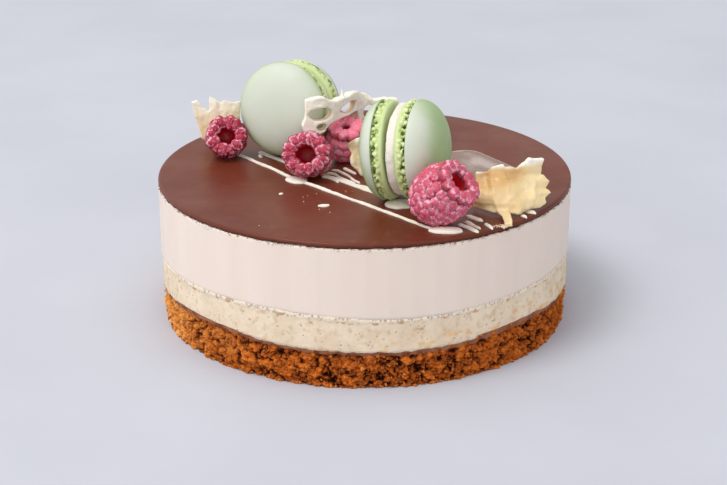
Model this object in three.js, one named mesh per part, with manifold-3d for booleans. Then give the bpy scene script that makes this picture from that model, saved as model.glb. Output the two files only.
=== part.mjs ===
// A round layered mousse cake with a poured chocolate glaze, dressed with two macarons,
// four frosted raspberries and white chocolate pieces. Millimetres, +Z up, origin at the
// centre of the flat underside.
import * as THREE from "three";
import { mergeVertices } from "three/addons/utils/BufferGeometryUtils.js";
import Module from "manifold-3d";

const wasm = await Module();
wasm.setup();

// Cake layers: radii and the heights where one layer meets the next.
const CAKE_RADIUS = 80;
const SPONGE_RADIUS = 78.9;
const SPONGE_TOP = 13.6;
const NUT_CREAM_BOTTOM = 15.4;
const MOUSSE_BOTTOM = 27.6;
const GLAZE_BOTTOM = 53.9;
const CAKE_TOP = 55.9;
const LAYER_GAP = 0.3;
const LEVEL_RADIUS = 58; // inside this radius each layer boundary is level
const CAKE_SEGMENTS = 60;
const SPONGE_ROWS = 4;
const CRUMB_DEPTH = 0.95;
const SIDE_STEP = 0.3; // how far each layer below the mousse stands back from the next
const RIM_ROUNDING = 0.9;
const GLAZE_EDGE = 0.2;

// Macarons: two domed shells with a ruffled foot and a disc of filling.
const MACARON_RADIUS = 18.5;
const FOOT_HEIGHT = 4.1;
const RUFFLE = 0.45;
const INSIDE_INSET = 1.6; // a shell's flat inside is narrower than its foot by this much
const DOME_ROWS = 5;
const DOME_FULLNESS = 0.85; // below 1 the dome stays wide near its edge
const FILLING_RADIUS = 16.8;
const FILLING_HEIGHT = 3.4;
const MACARON_SEGMENTS = 24;

// Raspberries: rows of drupelets round a hollow cup.
const DRUPELET_SWELL = 0.62;
const VALLEY_SWELL = 0.3;
const COLUMNS_PER_DRUPELET = 4;
const BERRY_FULLNESS = 0.75; // below 1 the berry stays wide towards its ends

// White chocolate: broken sheets, a honeycomb sheet and piped lines.
const SHEET_THICKNESS = 1.3;
const CURL_THICKNESS = 1.1;
const KNOB_THICKNESS = 2.2;
const LATTICE_THICKNESS = 3;
const LINE_HEIGHT = 0.6;
const LINE_STEP = 7; // length of one straight stretch of a piped line
const LINE_DEPTH = 0.5; // how far lines reach into the glaze
const DROP_SIDES = 10;
const RESTING_GAP = 0.25;

const UP = new THREE.Vector3(0, 0, 1);
const FULL_TURN = 2 * Math.PI;

const cake = new THREE.Group();

function seededRandom(seed) {
  let state = seed;
  return () => {
    state = (state + 0x6d2b79f5) | 0;
    let mixed = Math.imul(state ^ (state >>> 15), 1 | state);
    mixed = (mixed + Math.imul(mixed ^ (mixed >>> 7), 61 | mixed)) ^ mixed;
    return ((mixed ^ (mixed >>> 14)) >>> 0) / 2 ** 32;
  };
}

// A closed wave round the cake: a few sines with seeded phases, within +-amplitude.
function ripple(seed, waveCounts, amplitude) {
  const random = seededRandom(seed);
  const waves = waveCounts.map((count) => ({ count, phase: random() * FULL_TURN }));
  return (angle) => {
    const sum = waves.reduce((total, w) => total + Math.sin(w.count * angle + w.phase), 0);
    return (amplitude * sum) / waves.length;
  };
}

function meshGeometry(points, triangles) {
  const geometry = new THREE.BufferGeometry();
  geometry.setAttribute("position", new THREE.Float32BufferAttribute(points.flat(), 3));
  geometry.setIndex(triangles.flat());
  return geometry;
}

// A closed body turned about Z whose profile may change with the angle. The profile runs
// from the lower pole, out and up, to the upper pole, as [radius, height] pairs. A face that
// widens and one that narrows are split along the same line, so stacked bodies keep a gap.
function turnedSolid(segments, profileAt) {
  const profiles = [];
  for (let i = 0; i < segments; i += 1) {
    profiles.push(profileAt((i / segments) * FULL_TURN, i));
  }
  const rings = profiles[0].length - 2;
  const points = [[0, 0, profiles[0][0][1]]];
  profiles.forEach((profile, i) => {
    const angle = (i / segments) * FULL_TURN;
    for (let j = 1; j <= rings; j += 1) {
      const [radius, height] = profile[j];
      points.push([radius * Math.cos(angle), radius * Math.sin(angle), height]);
    }
  });
  points.push([0, 0, profiles[0][rings + 1][1]]);
  const lowerPole = 0;
  const upperPole = points.length - 1;
  const index = (i, j) => 1 + (i % segments) * rings + j;
  const triangles = [];
  for (let i = 0; i < segments; i += 1) {
    triangles.push([lowerPole, index(i + 1, 0), index(i, 0)]);
    for (let j = 0; j < rings - 1; j += 1) {
      if (profiles[i][j + 1][0] < profiles[i][j + 2][0]) {
        triangles.push([index(i, j), index(i + 1, j), index(i, j + 1)]);
        triangles.push([index(i + 1, j), index(i + 1, j + 1), index(i, j + 1)]);
      } else {
        triangles.push([index(i, j), index(i + 1, j), index(i + 1, j + 1)]);
        triangles.push([index(i, j), index(i + 1, j + 1), index(i, j + 1)]);
      }
    }
    triangles.push([upperPole, index(i, rings - 1), index(i + 1, rings - 1)]);
  }
  return meshGeometry(points, triangles);
}

// A thin closed sheet over a grid of points, with both faces split alike.
function sheetSolid(columns, rows, pointAt, thickness) {
  const point = (i, j) => pointAt(i / columns, j / rows);
  const points = [];
  for (const side of [1, -1]) {
    for (let i = 0; i <= columns; i += 1) {
      for (let j = 0; j <= rows; j += 1) {
        const along = point(Math.min(i + 1, columns), j).sub(point(Math.max(i - 1, 0), j));
        const across = point(i, Math.min(j + 1, rows)).sub(point(i, Math.max(j - 1, 0)));
        const normal = along.cross(across).normalize();
        points.push(point(i, j).addScaledVector(normal, (side * thickness) / 2).toArray());
      }
    }
  }
  const half = (columns + 1) * (rows + 1);
  const front = (i, j) => i * (rows + 1) + j;
  const back = (i, j) => half + front(i, j);
  const triangles = [];
  for (let i = 0; i < columns; i += 1) {
    for (let j = 0; j < rows; j += 1) {
      triangles.push([front(i, j), front(i + 1, j), front(i + 1, j + 1)]);
      triangles.push([front(i, j), front(i + 1, j + 1), front(i, j + 1)]);
      triangles.push([back(i, j), back(i + 1, j + 1), back(i + 1, j)]);
      triangles.push([back(i, j), back(i, j + 1), back(i + 1, j + 1)]);
    }
  }
  const rim = [];
  for (let i = 0; i < columns; i += 1) rim.push([i, 0]);
  for (let j = 0; j < rows; j += 1) rim.push([columns, j]);
  for (let i = columns; i > 0; i -= 1) rim.push([i, rows]);
  for (let j = rows; j > 0; j -= 1) rim.push([0, j]);
  rim.forEach(([i, j], k) => {
    const [m, n] = rim[(k + 1) % rim.length];
    triangles.push([front(i, j), back(i, j), back(m, n)]);
    triangles.push([front(i, j), back(m, n), front(m, n)]);
  });
  return meshGeometry(points, triangles);
}

// The point a share of the way along an outline, counted in its points.
function alongLine(line, share) {
  const place = share * (line.length - 1);
  const k = Math.min(Math.floor(place), line.length - 2);
  return new THREE.Vector3(...line[k]).lerp(new THREE.Vector3(...line[k + 1]), place - k);
}

// A surface spanned by four edge lines that meet at their ends.
function edgePatch({ bottom, top, left, right }) {
  const corner = (line, end) => new THREE.Vector3(...line[end === 0 ? 0 : line.length - 1]);
  return (u, v) => {
    const ruled = alongLine(bottom, u).multiplyScalar(1 - v).addScaledVector(alongLine(top, u), v);
    ruled.addScaledVector(alongLine(left, v), 1 - u).addScaledVector(alongLine(right, v), u);
    ruled.addScaledVector(corner(bottom, 0), -(1 - u) * (1 - v));
    ruled.addScaledVector(corner(bottom, 1), -u * (1 - v));
    ruled.addScaledVector(corner(top, 0), -(1 - u) * v);
    return ruled.addScaledVector(corner(top, 1), -u * v);
  };
}

const smoothCurve = (line) =>
  new THREE.CatmullRomCurve3(line.map(([x, y]) => new THREE.Vector3(x, y, 0)));

// A half-round bead laid on the glaze along a smooth line, thinner at its two ends.
function bead(line, width) {
  const curve = smoothCurve(line);
  const steps = Math.max(line.length - 1, Math.round(curve.getLength() / LINE_STEP));
  const sides = 4;
  const tipSize = 0.6;
  const points = [];
  for (let i = 0; i <= steps; i += 1) {
    const share = i / steps;
    const centre = curve.getPointAt(share);
    const side = curve.getTangentAt(share).cross(UP).normalize();
    const size = i === 0 || i === steps ? tipSize : 1;
    points.push([centre.x, centre.y, CAKE_TOP - LINE_DEPTH]);
    for (let j = 0; j <= sides; j += 1) {
      const angle = (j / sides) * Math.PI;
      const out = ((Math.cos(angle) * width) / 2) * size;
      const rise = Math.sin(angle) * LINE_HEIGHT * size - (j % sides === 0 ? LINE_DEPTH : 0);
      points.push([centre.x + side.x * out, centre.y + side.y * out, CAKE_TOP + rise]);
    }
  }
  const ring = sides + 2;
  const index = (i, j) => i * ring + (j % ring);
  const triangles = [];
  for (let i = 0; i < steps; i += 1) {
    for (let j = 0; j < ring; j += 1) {
      triangles.push([index(i, j), index(i + 1, j + 1), index(i, j + 1)]);
      triangles.push([index(i, j), index(i + 1, j), index(i + 1, j + 1)]);
    }
  }
  for (let j = 1; j < ring - 1; j += 1) {
    triangles.push([index(0, 0), index(0, j), index(0, j + 1)]);
    triangles.push([index(steps, 0), index(steps, j + 1), index(steps, j)]);
  }
  return meshGeometry(points, triangles);
}

// A flattened drop on the glaze.
function drop([x, y], [lengthways, crossways], height, turn = 0) {
  const geometry = new THREE.SphereGeometry(1, DROP_SIDES, DROP_SIDES / 2);
  geometry.rotateX(Math.PI / 2);
  geometry.scale(lengthways, crossways, height);
  geometry.rotateZ(turn);
  geometry.translate(x, y, CAKE_TOP);
  return geometry;
}

function solidOf(geometry) {
  const plain = geometry.clone();
  plain.deleteAttribute("normal");
  plain.deleteAttribute("uv");
  const merged = mergeVertices(plain, 1e-4);
  return new wasm.Manifold(
    new wasm.Mesh({
      numProp: 3,
      vertProperties: new Float32Array(merged.attributes.position.array),
      triVerts: new Uint32Array(merged.index.array),
    }),
  );
}

function geometryOf(solid) {
  const { vertProperties, triVerts } = solid.getMesh();
  const geometry = new THREE.BufferGeometry();
  geometry.setAttribute("position", new THREE.BufferAttribute(vertProperties, 3));
  geometry.setIndex(new THREE.BufferAttribute(triVerts, 1));
  return geometry;
}

function addPiece(parent, name, geometry, look) {
  geometry.computeVertexNormals();
  const [color, roughness] = look;
  const mesh = new THREE.Mesh(
    geometry,
    new THREE.MeshStandardMaterial({ color, roughness, metalness: 0 }),
  );
  mesh.name = name;
  parent.add(mesh);
  return mesh;
}

// Lifts a turned piece or group until its lowest point is just above the given height.
function restAt(object, height) {
  object.updateMatrixWorld(true);
  const lowest = new THREE.Box3().setFromObject(object, true).min.z;
  object.position.z += height - lowest;
  object.updateMatrixWorld(true);
}

function facing(x, y, z) {
  return new THREE.Quaternion().setFromUnitVectors(UP, new THREE.Vector3(x, y, z).normalize());
}

// --- Looks: base colour and roughness of each sub-part ---

const LOOKS = {
  sponge: [0xa4602c, 0.95],
  ganache: [0x7a4c3c, 0.6],
  nutCream: [0xd9cbb2, 0.7],
  mousse: [0xe8dcd3, 0.6],
  glaze: [0x74443a, 0.25],
  shell: [0xc3d6bb, 0.5],
  filling: [0xe3d6c6, 0.6],
  raspberry: [0xc24a74, 0.6],
  whiteChocolate: [0xf2e2bd, 0.4],
};

// --- Cake layers ---

// Each boundary swells about four times round the cake, with a small uneven ripple.
const degrees = (value) => (value * Math.PI) / 180;
const unevenNut = ripple(23, [3, 7], 0.4);
const unevenSponge = ripple(11, [5, 9], 0.4);
const nutCreamBottom = (angle) => 1.1 * Math.cos(4 * (angle + degrees(135))) + unevenNut(angle);
const mousseBottom = (angle) => 0.8 * Math.cos(4 * (angle + degrees(121)));
const spongeTop = (angle) =>
  nutCreamBottom(angle) - 0.6 * Math.cos(angle + degrees(30)) + unevenSponge(angle);

// A layer between two boundaries, each level in the middle and waving near the side.
function layer(lower, upper, sideAt) {
  return turnedSolid(CAKE_SEGMENTS, (angle, column) => [
    [0, lower.height],
    [LEVEL_RADIUS, lower.height],
    ...sideAt(lower.height + lower.wave(angle), upper.height + upper.wave(angle), column),
    [LEVEL_RADIUS, upper.height],
    [0, upper.height],
  ]);
}

const level = (height) => ({ height, wave: () => 0 });

function addLayers() {
  const random = seededRandom(5);
  const crag = () => (random() - 0.5) * 2 * CRUMB_DEPTH;
  const spongeSide = (low, high) => {
    const side = [];
    for (let row = 0; row <= SPONGE_ROWS; row += 1) {
      const edge = row === 0 || row === SPONGE_ROWS;
      const radius = SPONGE_RADIUS + crag() * (edge ? 0.5 : 1);
      side.push([radius, low + ((high - low) * row) / SPONGE_ROWS]);
    }
    return side;
  };
  const spongeEdge = { height: SPONGE_TOP, wave: spongeTop };
  addPiece(cake, "sponge_base", layer(level(0), spongeEdge, spongeSide), LOOKS.sponge);

  const plainSide = (radius) => (low, high) => [
    [radius, low],
    [radius, high],
  ];
  const above = (height, wave) => ({ height: height + LAYER_GAP / 2, wave });
  const below = (height, wave) => ({ height: height - LAYER_GAP / 2, wave });
  const ganache = layer(
    { height: SPONGE_TOP + LAYER_GAP, wave: spongeTop },
    below(NUT_CREAM_BOTTOM, nutCreamBottom),
    plainSide(CAKE_RADIUS - 2 * SIDE_STEP),
  );
  addPiece(cake, "ganache_layer", ganache, LOOKS.ganache);
  const nutCream = layer(
    above(NUT_CREAM_BOTTOM, nutCreamBottom),
    below(MOUSSE_BOTTOM, mousseBottom),
    plainSide(CAKE_RADIUS - SIDE_STEP),
  );
  addPiece(cake, "nut_cream_layer", nutCream, LOOKS.nutCream);
  const mousse = layer(
    above(MOUSSE_BOTTOM, mousseBottom),
    level(GLAZE_BOTTOM - LAYER_GAP),
    plainSide(CAKE_RADIUS),
  );
  addPiece(cake, "mousse_layer", mousse, LOOKS.mousse);
}

// --- Macarons ---

// From the flat inside (local z 0) round the ruffled foot and up over the dome.
function shellGeometry(domeHeight, seed) {
  const random = seededRandom(seed);
  const ruffled = (radius) => radius + (random() - 0.5) * 2 * RUFFLE;
  return turnedSolid(MACARON_SEGMENTS, () => {
    const profile = [
      [0, 0],
      [MACARON_RADIUS - INSIDE_INSET, 0],
      [ruffled(MACARON_RADIUS - 0.6), FOOT_HEIGHT * 0.22],
      [ruffled(MACARON_RADIUS - 0.3), FOOT_HEIGHT * 0.63],
      [MACARON_RADIUS - 0.7, FOOT_HEIGHT],
    ];
    for (let k = 0; k < DOME_ROWS; k += 1) {
      const angle = ((k + 0.35) / (DOME_ROWS + 0.35)) * (Math.PI / 2);
      const radius = MACARON_RADIUS * Math.cos(angle) ** DOME_FULLNESS;
      profile.push([radius, FOOT_HEIGHT + domeHeight * Math.sin(angle)]);
    }
    profile.push([0, FOOT_HEIGHT + domeHeight]);
    return profile;
  });
}

function fillingGeometry() {
  const half = FILLING_HEIGHT / 2;
  return turnedSolid(MACARON_SEGMENTS, () => [
    [0, -half],
    [FILLING_RADIUS - 0.5, -half],
    [FILLING_RADIUS, 0],
    [FILLING_RADIUS - 0.5, half],
    [0, half],
  ]);
}

// The macaron's axis is local Z. Shell A is on the -Z side and may lean open by a splay
// angle about its lowest point; the filling stays on shell B.
function addMacaron({ name, at, axis, domeA, domeB, splay, seed }) {
  const macaron = new THREE.Group();
  const offset = FILLING_HEIGHT / 2 + LAYER_GAP;
  const shellB = addPiece(macaron, `${name}_shell_b`, shellGeometry(domeB, seed), LOOKS.shell);
  shellB.position.z = offset;
  addPiece(macaron, `${name}_filling`, fillingGeometry(), LOOKS.filling);
  const shellA = addPiece(macaron, `${name}_shell_a`, shellGeometry(domeA, seed + 1), LOOKS.shell);

  macaron.quaternion.copy(facing(...axis));
  macaron.position.set(at[0], at[1], CAKE_TOP + MACARON_RADIUS);
  // Shell A turns over to face -Z, then leans open about a line across its lowest edge.
  const down = UP.clone().negate().applyQuaternion(macaron.quaternion.clone().invert());
  const lowest = new THREE.Vector3(down.x, down.y, 0).normalize();
  const hinge = new THREE.Vector3().crossVectors(lowest, UP).normalize();
  const lean = new THREE.Quaternion().setFromAxisAngle(hinge, splay);
  const flip = new THREE.Quaternion().setFromAxisAngle(hinge, Math.PI);
  const pivot = lowest.clone().multiplyScalar(MACARON_RADIUS - INSIDE_INSET);
  pivot.z = -offset;
  shellA.quaternion.copy(lean).multiply(flip);
  shellA.position.set(0, 0, -offset).sub(pivot).applyQuaternion(lean).add(pivot);
  cake.add(macaron);
  restAt(macaron, CAKE_TOP + RESTING_GAP);
}

// --- Raspberries ---

// A cup-shaped berry: rows of drupelets swell the outside from the tip (local -Z) to the
// open rim (local +Z), and a plain hollow runs down from the rim. Each row is turned half a
// drupelet against the next.
function raspberryGeometry({ radius, length, around, rows, hollow, seed, widen = 1 }) {
  const random = seededRandom(seed);
  const swell = ((Math.PI * radius) / around) * DRUPELET_SWELL;
  const sizes = Array.from({ length: rows }, () =>
    Array.from({ length: around }, () => 0.8 + 0.35 * random()),
  );
  const outside = (share) => {
    const angle = Math.PI * (0.05 + 0.75 * share);
    const out = (radius - swell) * Math.sin(angle) ** BERRY_FULLNESS;
    return new THREE.Vector2(out, -Math.cos(angle) * (length / 2 - swell * 0.6));
  };
  const swollen = (share, height) => {
    const step = outside(Math.min(share + 0.02, 1)).sub(outside(share - 0.02)).normalize();
    return outside(share).add(new THREE.Vector2(step.y, -step.x).multiplyScalar(height)).toArray();
  };
  const rowHeight = (row, angle) => {
    const turns = (angle / FULL_TURN) * around + (row % 2) / 2 + 1e-6;
    const fromMiddle = Math.abs((turns % 1) - 0.5) * 2;
    const size = sizes[row][Math.floor(turns) % around];
    return swell * size * Math.sqrt(1 - fromMiddle ** 2);
  };
  const floor = length / 2 - hollow.depth;
  const geometry = turnedSolid(around * COLUMNS_PER_DRUPELET, (angle) => {
    const profile = [[0, -length / 2]];
    for (let row = 0; row < rows; row += 1) {
      profile.push(swollen((row + 0.5) / rows, rowHeight(row, angle)));
      if (row < rows - 1) profile.push(swollen((row + 1) / rows, swell * VALLEY_SWELL));
    }
    profile.push([hollow.radius * 1.15, length * 0.41]);
    profile.push([hollow.radius, length * 0.3]);
    profile.push([hollow.radius * 0.7, floor + 0.8]);
    profile.push([0, floor]);
    return profile;
  });
  return geometry.scale(widen, 1, 1);
}

function addRaspberry({ name, at, axis, restOn = CAKE_TOP + RESTING_GAP, ...shape }) {
  const berry = addPiece(cake, name, raspberryGeometry(shape), LOOKS.raspberry);
  berry.quaternion.copy(facing(...axis));
  berry.position.set(at[0], at[1], CAKE_TOP + shape.radius);
  restAt(berry, restOn);
  return berry;
}

// --- White chocolate pieces ---

// Heights in these outlines are above the glaze; lift puts them on the cake.
const lift = (line) => line.map(([x, y, z]) => [x, y, z + CAKE_TOP]);

// A broken sheet between four edges. Its waves push it back and forth between foot and top.
const SHARD_RIGHT = {
  outline: {
    bottom: lift([
      [39.8, -45.5, 1.2], [44.1, -49.5, 1.3], [46.4, -52, 1.3], [51.9, -53, 1.4],
      [55, -54, 1.2], [57, -51, 1.3], [58.6, -48.5, 1.7], [63.5, -47, 1.6],
    ]),
    right: lift([
      [63.5, -47, 1.6], [66.2, -44.8, 2.6], [65.7, -44, 4.1], [67.9, -42.7, 5.2],
      [65.6, -42.5, 6.7], [67.2, -41.8, 8.9], [64.2, -40.6, 11.4], [64.4, -39.6, 14.4],
      [64.9, -39, 17.2],
    ]),
    top: lift([
      [40.4, -42, 13.2], [44.5, -42.5, 13.5], [46.1, -43, 15.5], [50.2, -43, 16.5],
      [50.6, -43, 15.3], [55.1, -42, 14.7], [59.5, -41, 18], [64.9, -39, 17.2],
    ]),
    left: lift([[39.8, -45.5, 1.2], [40.2, -45, 7], [40.4, -42, 13.2]]),
  },
  waves: [
    { push: -2.2, across: 1.6, up: 4.2, phase: 0 },
    { push: -0.8, across: 9, up: 0, phase: 0 },
  ],
  columns: 21,
  rows: 8,
  thickness: SHEET_THICKNESS,
};
const SHARD_RIGHT_LEG = {
  line: lift([[49.4, -51.5, 2.1], [50.4, -57.6, 1.7], [51, -63.8, 1]]),
  widths: [4.2, 2.8],
};

const SHARD_LEFT = {
  outline: {
    bottom: lift([
      [-65.8, 27.5, 3.9], [-63.5, 28.5, 2.2], [-61.5, 29, 1], [-57, 29.5, 0.9], [-51, 30.5, 0.9],
    ]),
    right: lift([[-51, 30.5, 0.9], [-50.6, 31.5, 9], [-50.1, 33, 17.9]]),
    top: lift([
      [-69.8, 31, 18.2], [-67.5, 31, 18.9], [-66.3, 30.5, 17.3], [-62.8, 30, 14.3],
      [-61.9, 31, 18.6], [-62.5, 31.3, 20.4], [-60.2, 31.5, 19.2], [-58.4, 32, 17.5],
      [-56.7, 32, 18.6], [-53.3, 32.5, 17.6], [-50.1, 33, 17.9],
    ]),
    left: lift([[-65.8, 27.5, 3.9], [-68.1, 29, 9.6], [-69.8, 31, 18.2]]),
  },
  waves: [{ push: 1.2, across: 5, up: 0, phase: 1 }],
  columns: 20,
  rows: 5,
  thickness: CURL_THICKNESS,
};

const KNOB = {
  outline: {
    bottom: lift([[0.2, -9, 1], [2.6, -9.4, 0.9], [5.8, -9.6, 0.9]]),
    right: lift([[5.8, -9.6, 0.9], [5.2, -9.2, 8], [5, -8.6, 14.6]]),
    top: lift([
      [-6.6, -8, 13.4], [-4.9, -8, 14.9], [-2.2, -8, 15.4], [1.5, -8.4, 14.3], [5, -8.6, 14.6],
    ]),
    left: lift([
      [0.2, -9, 1], [-3.2, -8.8, 2.4], [-5, -8.6, 5.2], [-4.8, -8.4, 9], [-6.8, -8.1, 11.8],
      [-6.6, -8, 13.4],
    ]),
  },
  waves: [{ push: -0.9, across: 0, up: 6, phase: 1 }],
  columns: 6,
  rows: 10,
  thickness: KNOB_THICKNESS,
};

function brokenSheet({ outline, waves, columns, rows, thickness }) {
  const surface = edgePatch(outline);
  const pointAt = (u, v) => {
    const point = surface(u, v);
    const inside = 4 * v * (1 - v);
    for (const { push, across, up, phase } of waves) {
      point.y += inside * push * Math.sin(across * u + up * v + phase);
    }
    return point;
  };
  return sheetSolid(columns, rows, pointAt, thickness);
}

// The right shard has run out at its foot into a leg that lies across the glaze.
function shardWithLeg(shard, { line, widths }) {
  const pointAt = (u, v) => {
    const point = alongLine(line, v);
    point.x += (u - 0.5) * THREE.MathUtils.lerp(...widths, v);
    return point;
  };
  const leg = sheetSolid(2, 4, pointAt, shard.thickness);
  return geometryOf(solidOf(brokenSheet(shard)).add(solidOf(leg)));
}

// The honeycomb sheet curves in plan: from the left it passes in front of the back macaron,
// over the rear raspberry, and stands on the glaze behind that. Distances run along this
// curve, heights are above the glaze.
const LATTICE_PLAN = smoothCurve([
  [-25.5, -1.7], [-16, 0.5], [-9.5, 7], [-5.5, 13.5], [-2.5, 20.5], [5, 22.5], [14, 23.5],
]);
const LATTICE_LENGTH = LATTICE_PLAN.getLength();
const LATTICE_START = 2.8;
const LATTICE_END = 50.5;
const LATTICE_STEP_OUT = 1.3; // how far the lower tier stands out at the left end
const LATTICE_COLUMNS = 27;
const LATTICE_ROWS = 4;
const LATTICE_BOTTOM = [
  [3.2, 15.1], [9.5, 14.8], [11, 16.7], [13.2, 18.8], [19, 19.2], [32, 18.7], [34.6, 9],
  [36, 0.5], [41, RESTING_GAP], [43.5, 2.5], [46, 12], [50.5, 17],
];
const LATTICE_TOP = [
  [2.4, 28.4], [5.9, 29.1], [9.3, 29.6], [11.4, 27.7], [15.2, 26.6], [18.1, 27.1],
  [22.9, 26.6], [26.1, 27.4], [33.9, 25.6], [36.2, 24.6], [38.8, 24], [39.4, 22.3],
  [41.3, 21.6], [43.4, 22.3], [50.5, 21.7],
];
const LATTICE_CELLS = [
  { at: [8.4, 22.6], size: [4.1, 2.2] },
  { at: [23.6, 22.2], size: [5.4, 1.8] },
  { at: [38.9, 16.9], size: [2.3, 2.7] },
  { at: [8.7, 17.5], size: [1.6, 1.1] },
  { at: [38.9, 9.2], size: [2.4, 2.6] },
  { at: [45, 17.2], size: [1.9, 2] },
];
const CELL_SIDES = 10;
const LATTICE_SPIKE = { at: 20.4, from: 25.6, to: 31.4, radius: 0.9, sides: 6 };

function heightOn(edge, distance) {
  let k = 1;
  while (k < edge.length - 1 && edge[k][0] < distance) k += 1;
  const [from, low] = edge[k - 1];
  const [to, high] = edge[k];
  return low + ((high - low) * (distance - from)) / (to - from);
}

function latticeSheet() {
  const onPlan = (distance, height) => {
    const share = THREE.MathUtils.clamp(distance / LATTICE_LENGTH, 0, 1);
    return LATTICE_PLAN.getPointAt(share).setZ(CAKE_TOP + height);
  };
  const pointAt = (u, v) => {
    const left = LATTICE_START - LATTICE_STEP_OUT * Math.sin(Math.PI * Math.min(2 * v, 1));
    const distance = left + (LATTICE_END - left) * u;
    const low = heightOn(LATTICE_BOTTOM, distance);
    return onPlan(distance, low + (heightOn(LATTICE_TOP, distance) - low) * v);
  };
  let sheet = solidOf(sheetSolid(LATTICE_COLUMNS, LATTICE_ROWS, pointAt, LATTICE_THICKNESS));
  for (const { at, size } of LATTICE_CELLS) {
    const cell = new THREE.CylinderGeometry(1, 1, 4 * LATTICE_THICKNESS, CELL_SIDES);
    cell.scale(size[0], 1, size[1]);
    const along = LATTICE_PLAN.getTangentAt(at[0] / LATTICE_LENGTH);
    cell.rotateZ(Math.atan2(along.y, along.x));
    cell.translate(...onPlan(...at));
    sheet = sheet.subtract(solidOf(cell));
  }
  const { at, from, to, radius, sides } = LATTICE_SPIKE;
  const spike = new THREE.ConeGeometry(radius, to - from, sides);
  spike.rotateX(Math.PI / 2);
  spike.translate(...onPlan(at, (from + to) / 2));
  return geometryOf(sheet.add(solidOf(spike)));
}

// --- Glaze with its piped lines, drops, flakes and smear ---

const PIPED_LINES = [
  {
    line: [
      [-51, 18.4], [-39, 4], [-28.7, -9.2], [-16.8, -22.5], [0.5, -40.7], [12.7, -53.8],
      [22, -64], [27, -68.6],
    ],
    width: 1.5,
  },
  {
    line: [
      [-42.6, 21], [-31.4, 8.9], [-22, -1], [-13.3, -9.5], [-3.7, -19.6], [5.7, -29.5],
      [11.3, -36],
    ],
    width: 2,
  },
  { line: [[-8.2, 0.9], [-6.1, -1.9], [-3.3, -6.2]], width: 1.9 },
  { line: [[-13.2, -1.4], [-10, -3], [-8, -6], [-6, -9.3], [-4.6, -13.4], [-1.6, -17]], width: 1.4 },
  { line: [[-14.9, -5.1], [-11.8, -6.6], [-9.8, -10], [-7.3, -13.4], [-3.3, -18.5]], width: 1.4 },
  { line: [[-16.5, -9], [-13.5, -11.3], [-10, -15.9]], width: 1.3 },
  { line: [[-4.2, -18.6], [0.1, -21.4], [2.7, -25]], width: 1.7 },
  { line: [[33, -61], [36.5, -64.8], [39.7, -69.2]], width: 1.4 },
  { line: [[35.5, -58.4], [38, -62], [40.9, -65.8]], width: 1.3 },
  { line: [[36.5, -51.8], [39.5, -55], [42.3, -58]], width: 2 },
  { line: [[42.8, -60.2], [44.6, -64.4], [45, -66]], width: 1.2 },
  { line: [[56, -52.2], [57.6, -53.6], [58.1, -54.8]], width: 1.2 },
  { line: [[57.9, -48.5], [60.6, -49.4], [61.6, -50.6]], width: 1.8 },
];

const DROPS = [
  { at: [-26, -13.4], size: [4.6, 3.6], height: 1.1, turn: -0.6 },
  { at: [12.8, -40.6], size: [5.4, 5.4], height: 1.2, turn: -0.2 },
  { at: [28.6, -67.4], size: [5.6, 3.2], height: 1.2, turn: -0.1 },
  { at: [-41.5, 15.6], size: [1.6, 0.8], height: 0.7, turn: -1.2 },
  { at: [-15, -41.6], size: [2.2, 1.1], height: 0.5, turn: 0.2 },
  { at: [-31.3, -28.6], size: [0.9, 0.6], height: 0.4, turn: 0 },
];

const SMEAR_TIP = { x: 40.3, y: 15.2, radius: 7.7 };
const SMEAR_END = { x: 48, y: -14, radius: 17 };
const SMEAR_HEIGHT = 0.3;

// The outline round two circles of unlike size, as one egg-shaped low plate.
function smearPlate() {
  const run = new THREE.Vector2(SMEAR_END.x - SMEAR_TIP.x, SMEAR_END.y - SMEAR_TIP.y);
  const heading = run.angle();
  const spread = Math.acos((SMEAR_TIP.radius - SMEAR_END.radius) / run.length());
  const shape = new THREE.Shape();
  const from = heading + spread;
  shape.absarc(SMEAR_TIP.x, SMEAR_TIP.y, SMEAR_TIP.radius, from, heading - spread + FULL_TURN, false);
  shape.absarc(SMEAR_END.x, SMEAR_END.y, SMEAR_END.radius, heading - spread, from, false);
  const geometry = new THREE.ExtrudeGeometry(shape, {
    depth: 1,
    curveSegments: 7,
    bevelEnabled: false,
  });
  geometry.translate(0, 0, CAKE_TOP + SMEAR_HEIGHT - 1);
  return geometry;
}

// Room for a topping: an upright column under and round its foot, down to the glaze.
const ROOM_HEIGHT = 12;
const ROOM_FLOOR = 0.03;
const ROOM_SIDES = 14;

function footRoom([x, y], [lengthways, crossways], turn = 0) {
  const geometry = new THREE.CylinderGeometry(1, 1, ROOM_HEIGHT, ROOM_SIDES);
  geometry.rotateX(Math.PI / 2);
  geometry.scale(lengthways, crossways, 1);
  geometry.rotateZ(turn);
  geometry.translate(x, y, CAKE_TOP + ROOM_FLOOR + ROOM_HEIGHT / 2);
  return geometry;
}

function glazeGeometry() {
  const disc = turnedSolid(CAKE_SEGMENTS, () => [
    [0, GLAZE_BOTTOM],
    [CAKE_RADIUS - GLAZE_EDGE, GLAZE_BOTTOM],
    [CAKE_RADIUS, GLAZE_BOTTOM + 3 * GLAZE_EDGE],
    [CAKE_RADIUS - GLAZE_EDGE, CAKE_TOP - RIM_ROUNDING / 2],
    [CAKE_RADIUS - RIM_ROUNDING, CAKE_TOP],
    [0, CAKE_TOP],
  ]);
  let glaze = solidOf(disc).add(solidOf(smearPlate()));
  for (const { line, width } of PIPED_LINES) glaze = glaze.add(solidOf(bead(line, width)));
  for (const { at, size, height, turn } of DROPS) {
    glaze = glaze.add(solidOf(drop(at, size, height, turn)));
  }
  for (const { at, size, turn } of TOPPING_ROOMS) {
    glaze = glaze.subtract(solidOf(footRoom(at, size, turn)));
  }
  return geometryOf(glaze);
}

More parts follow.
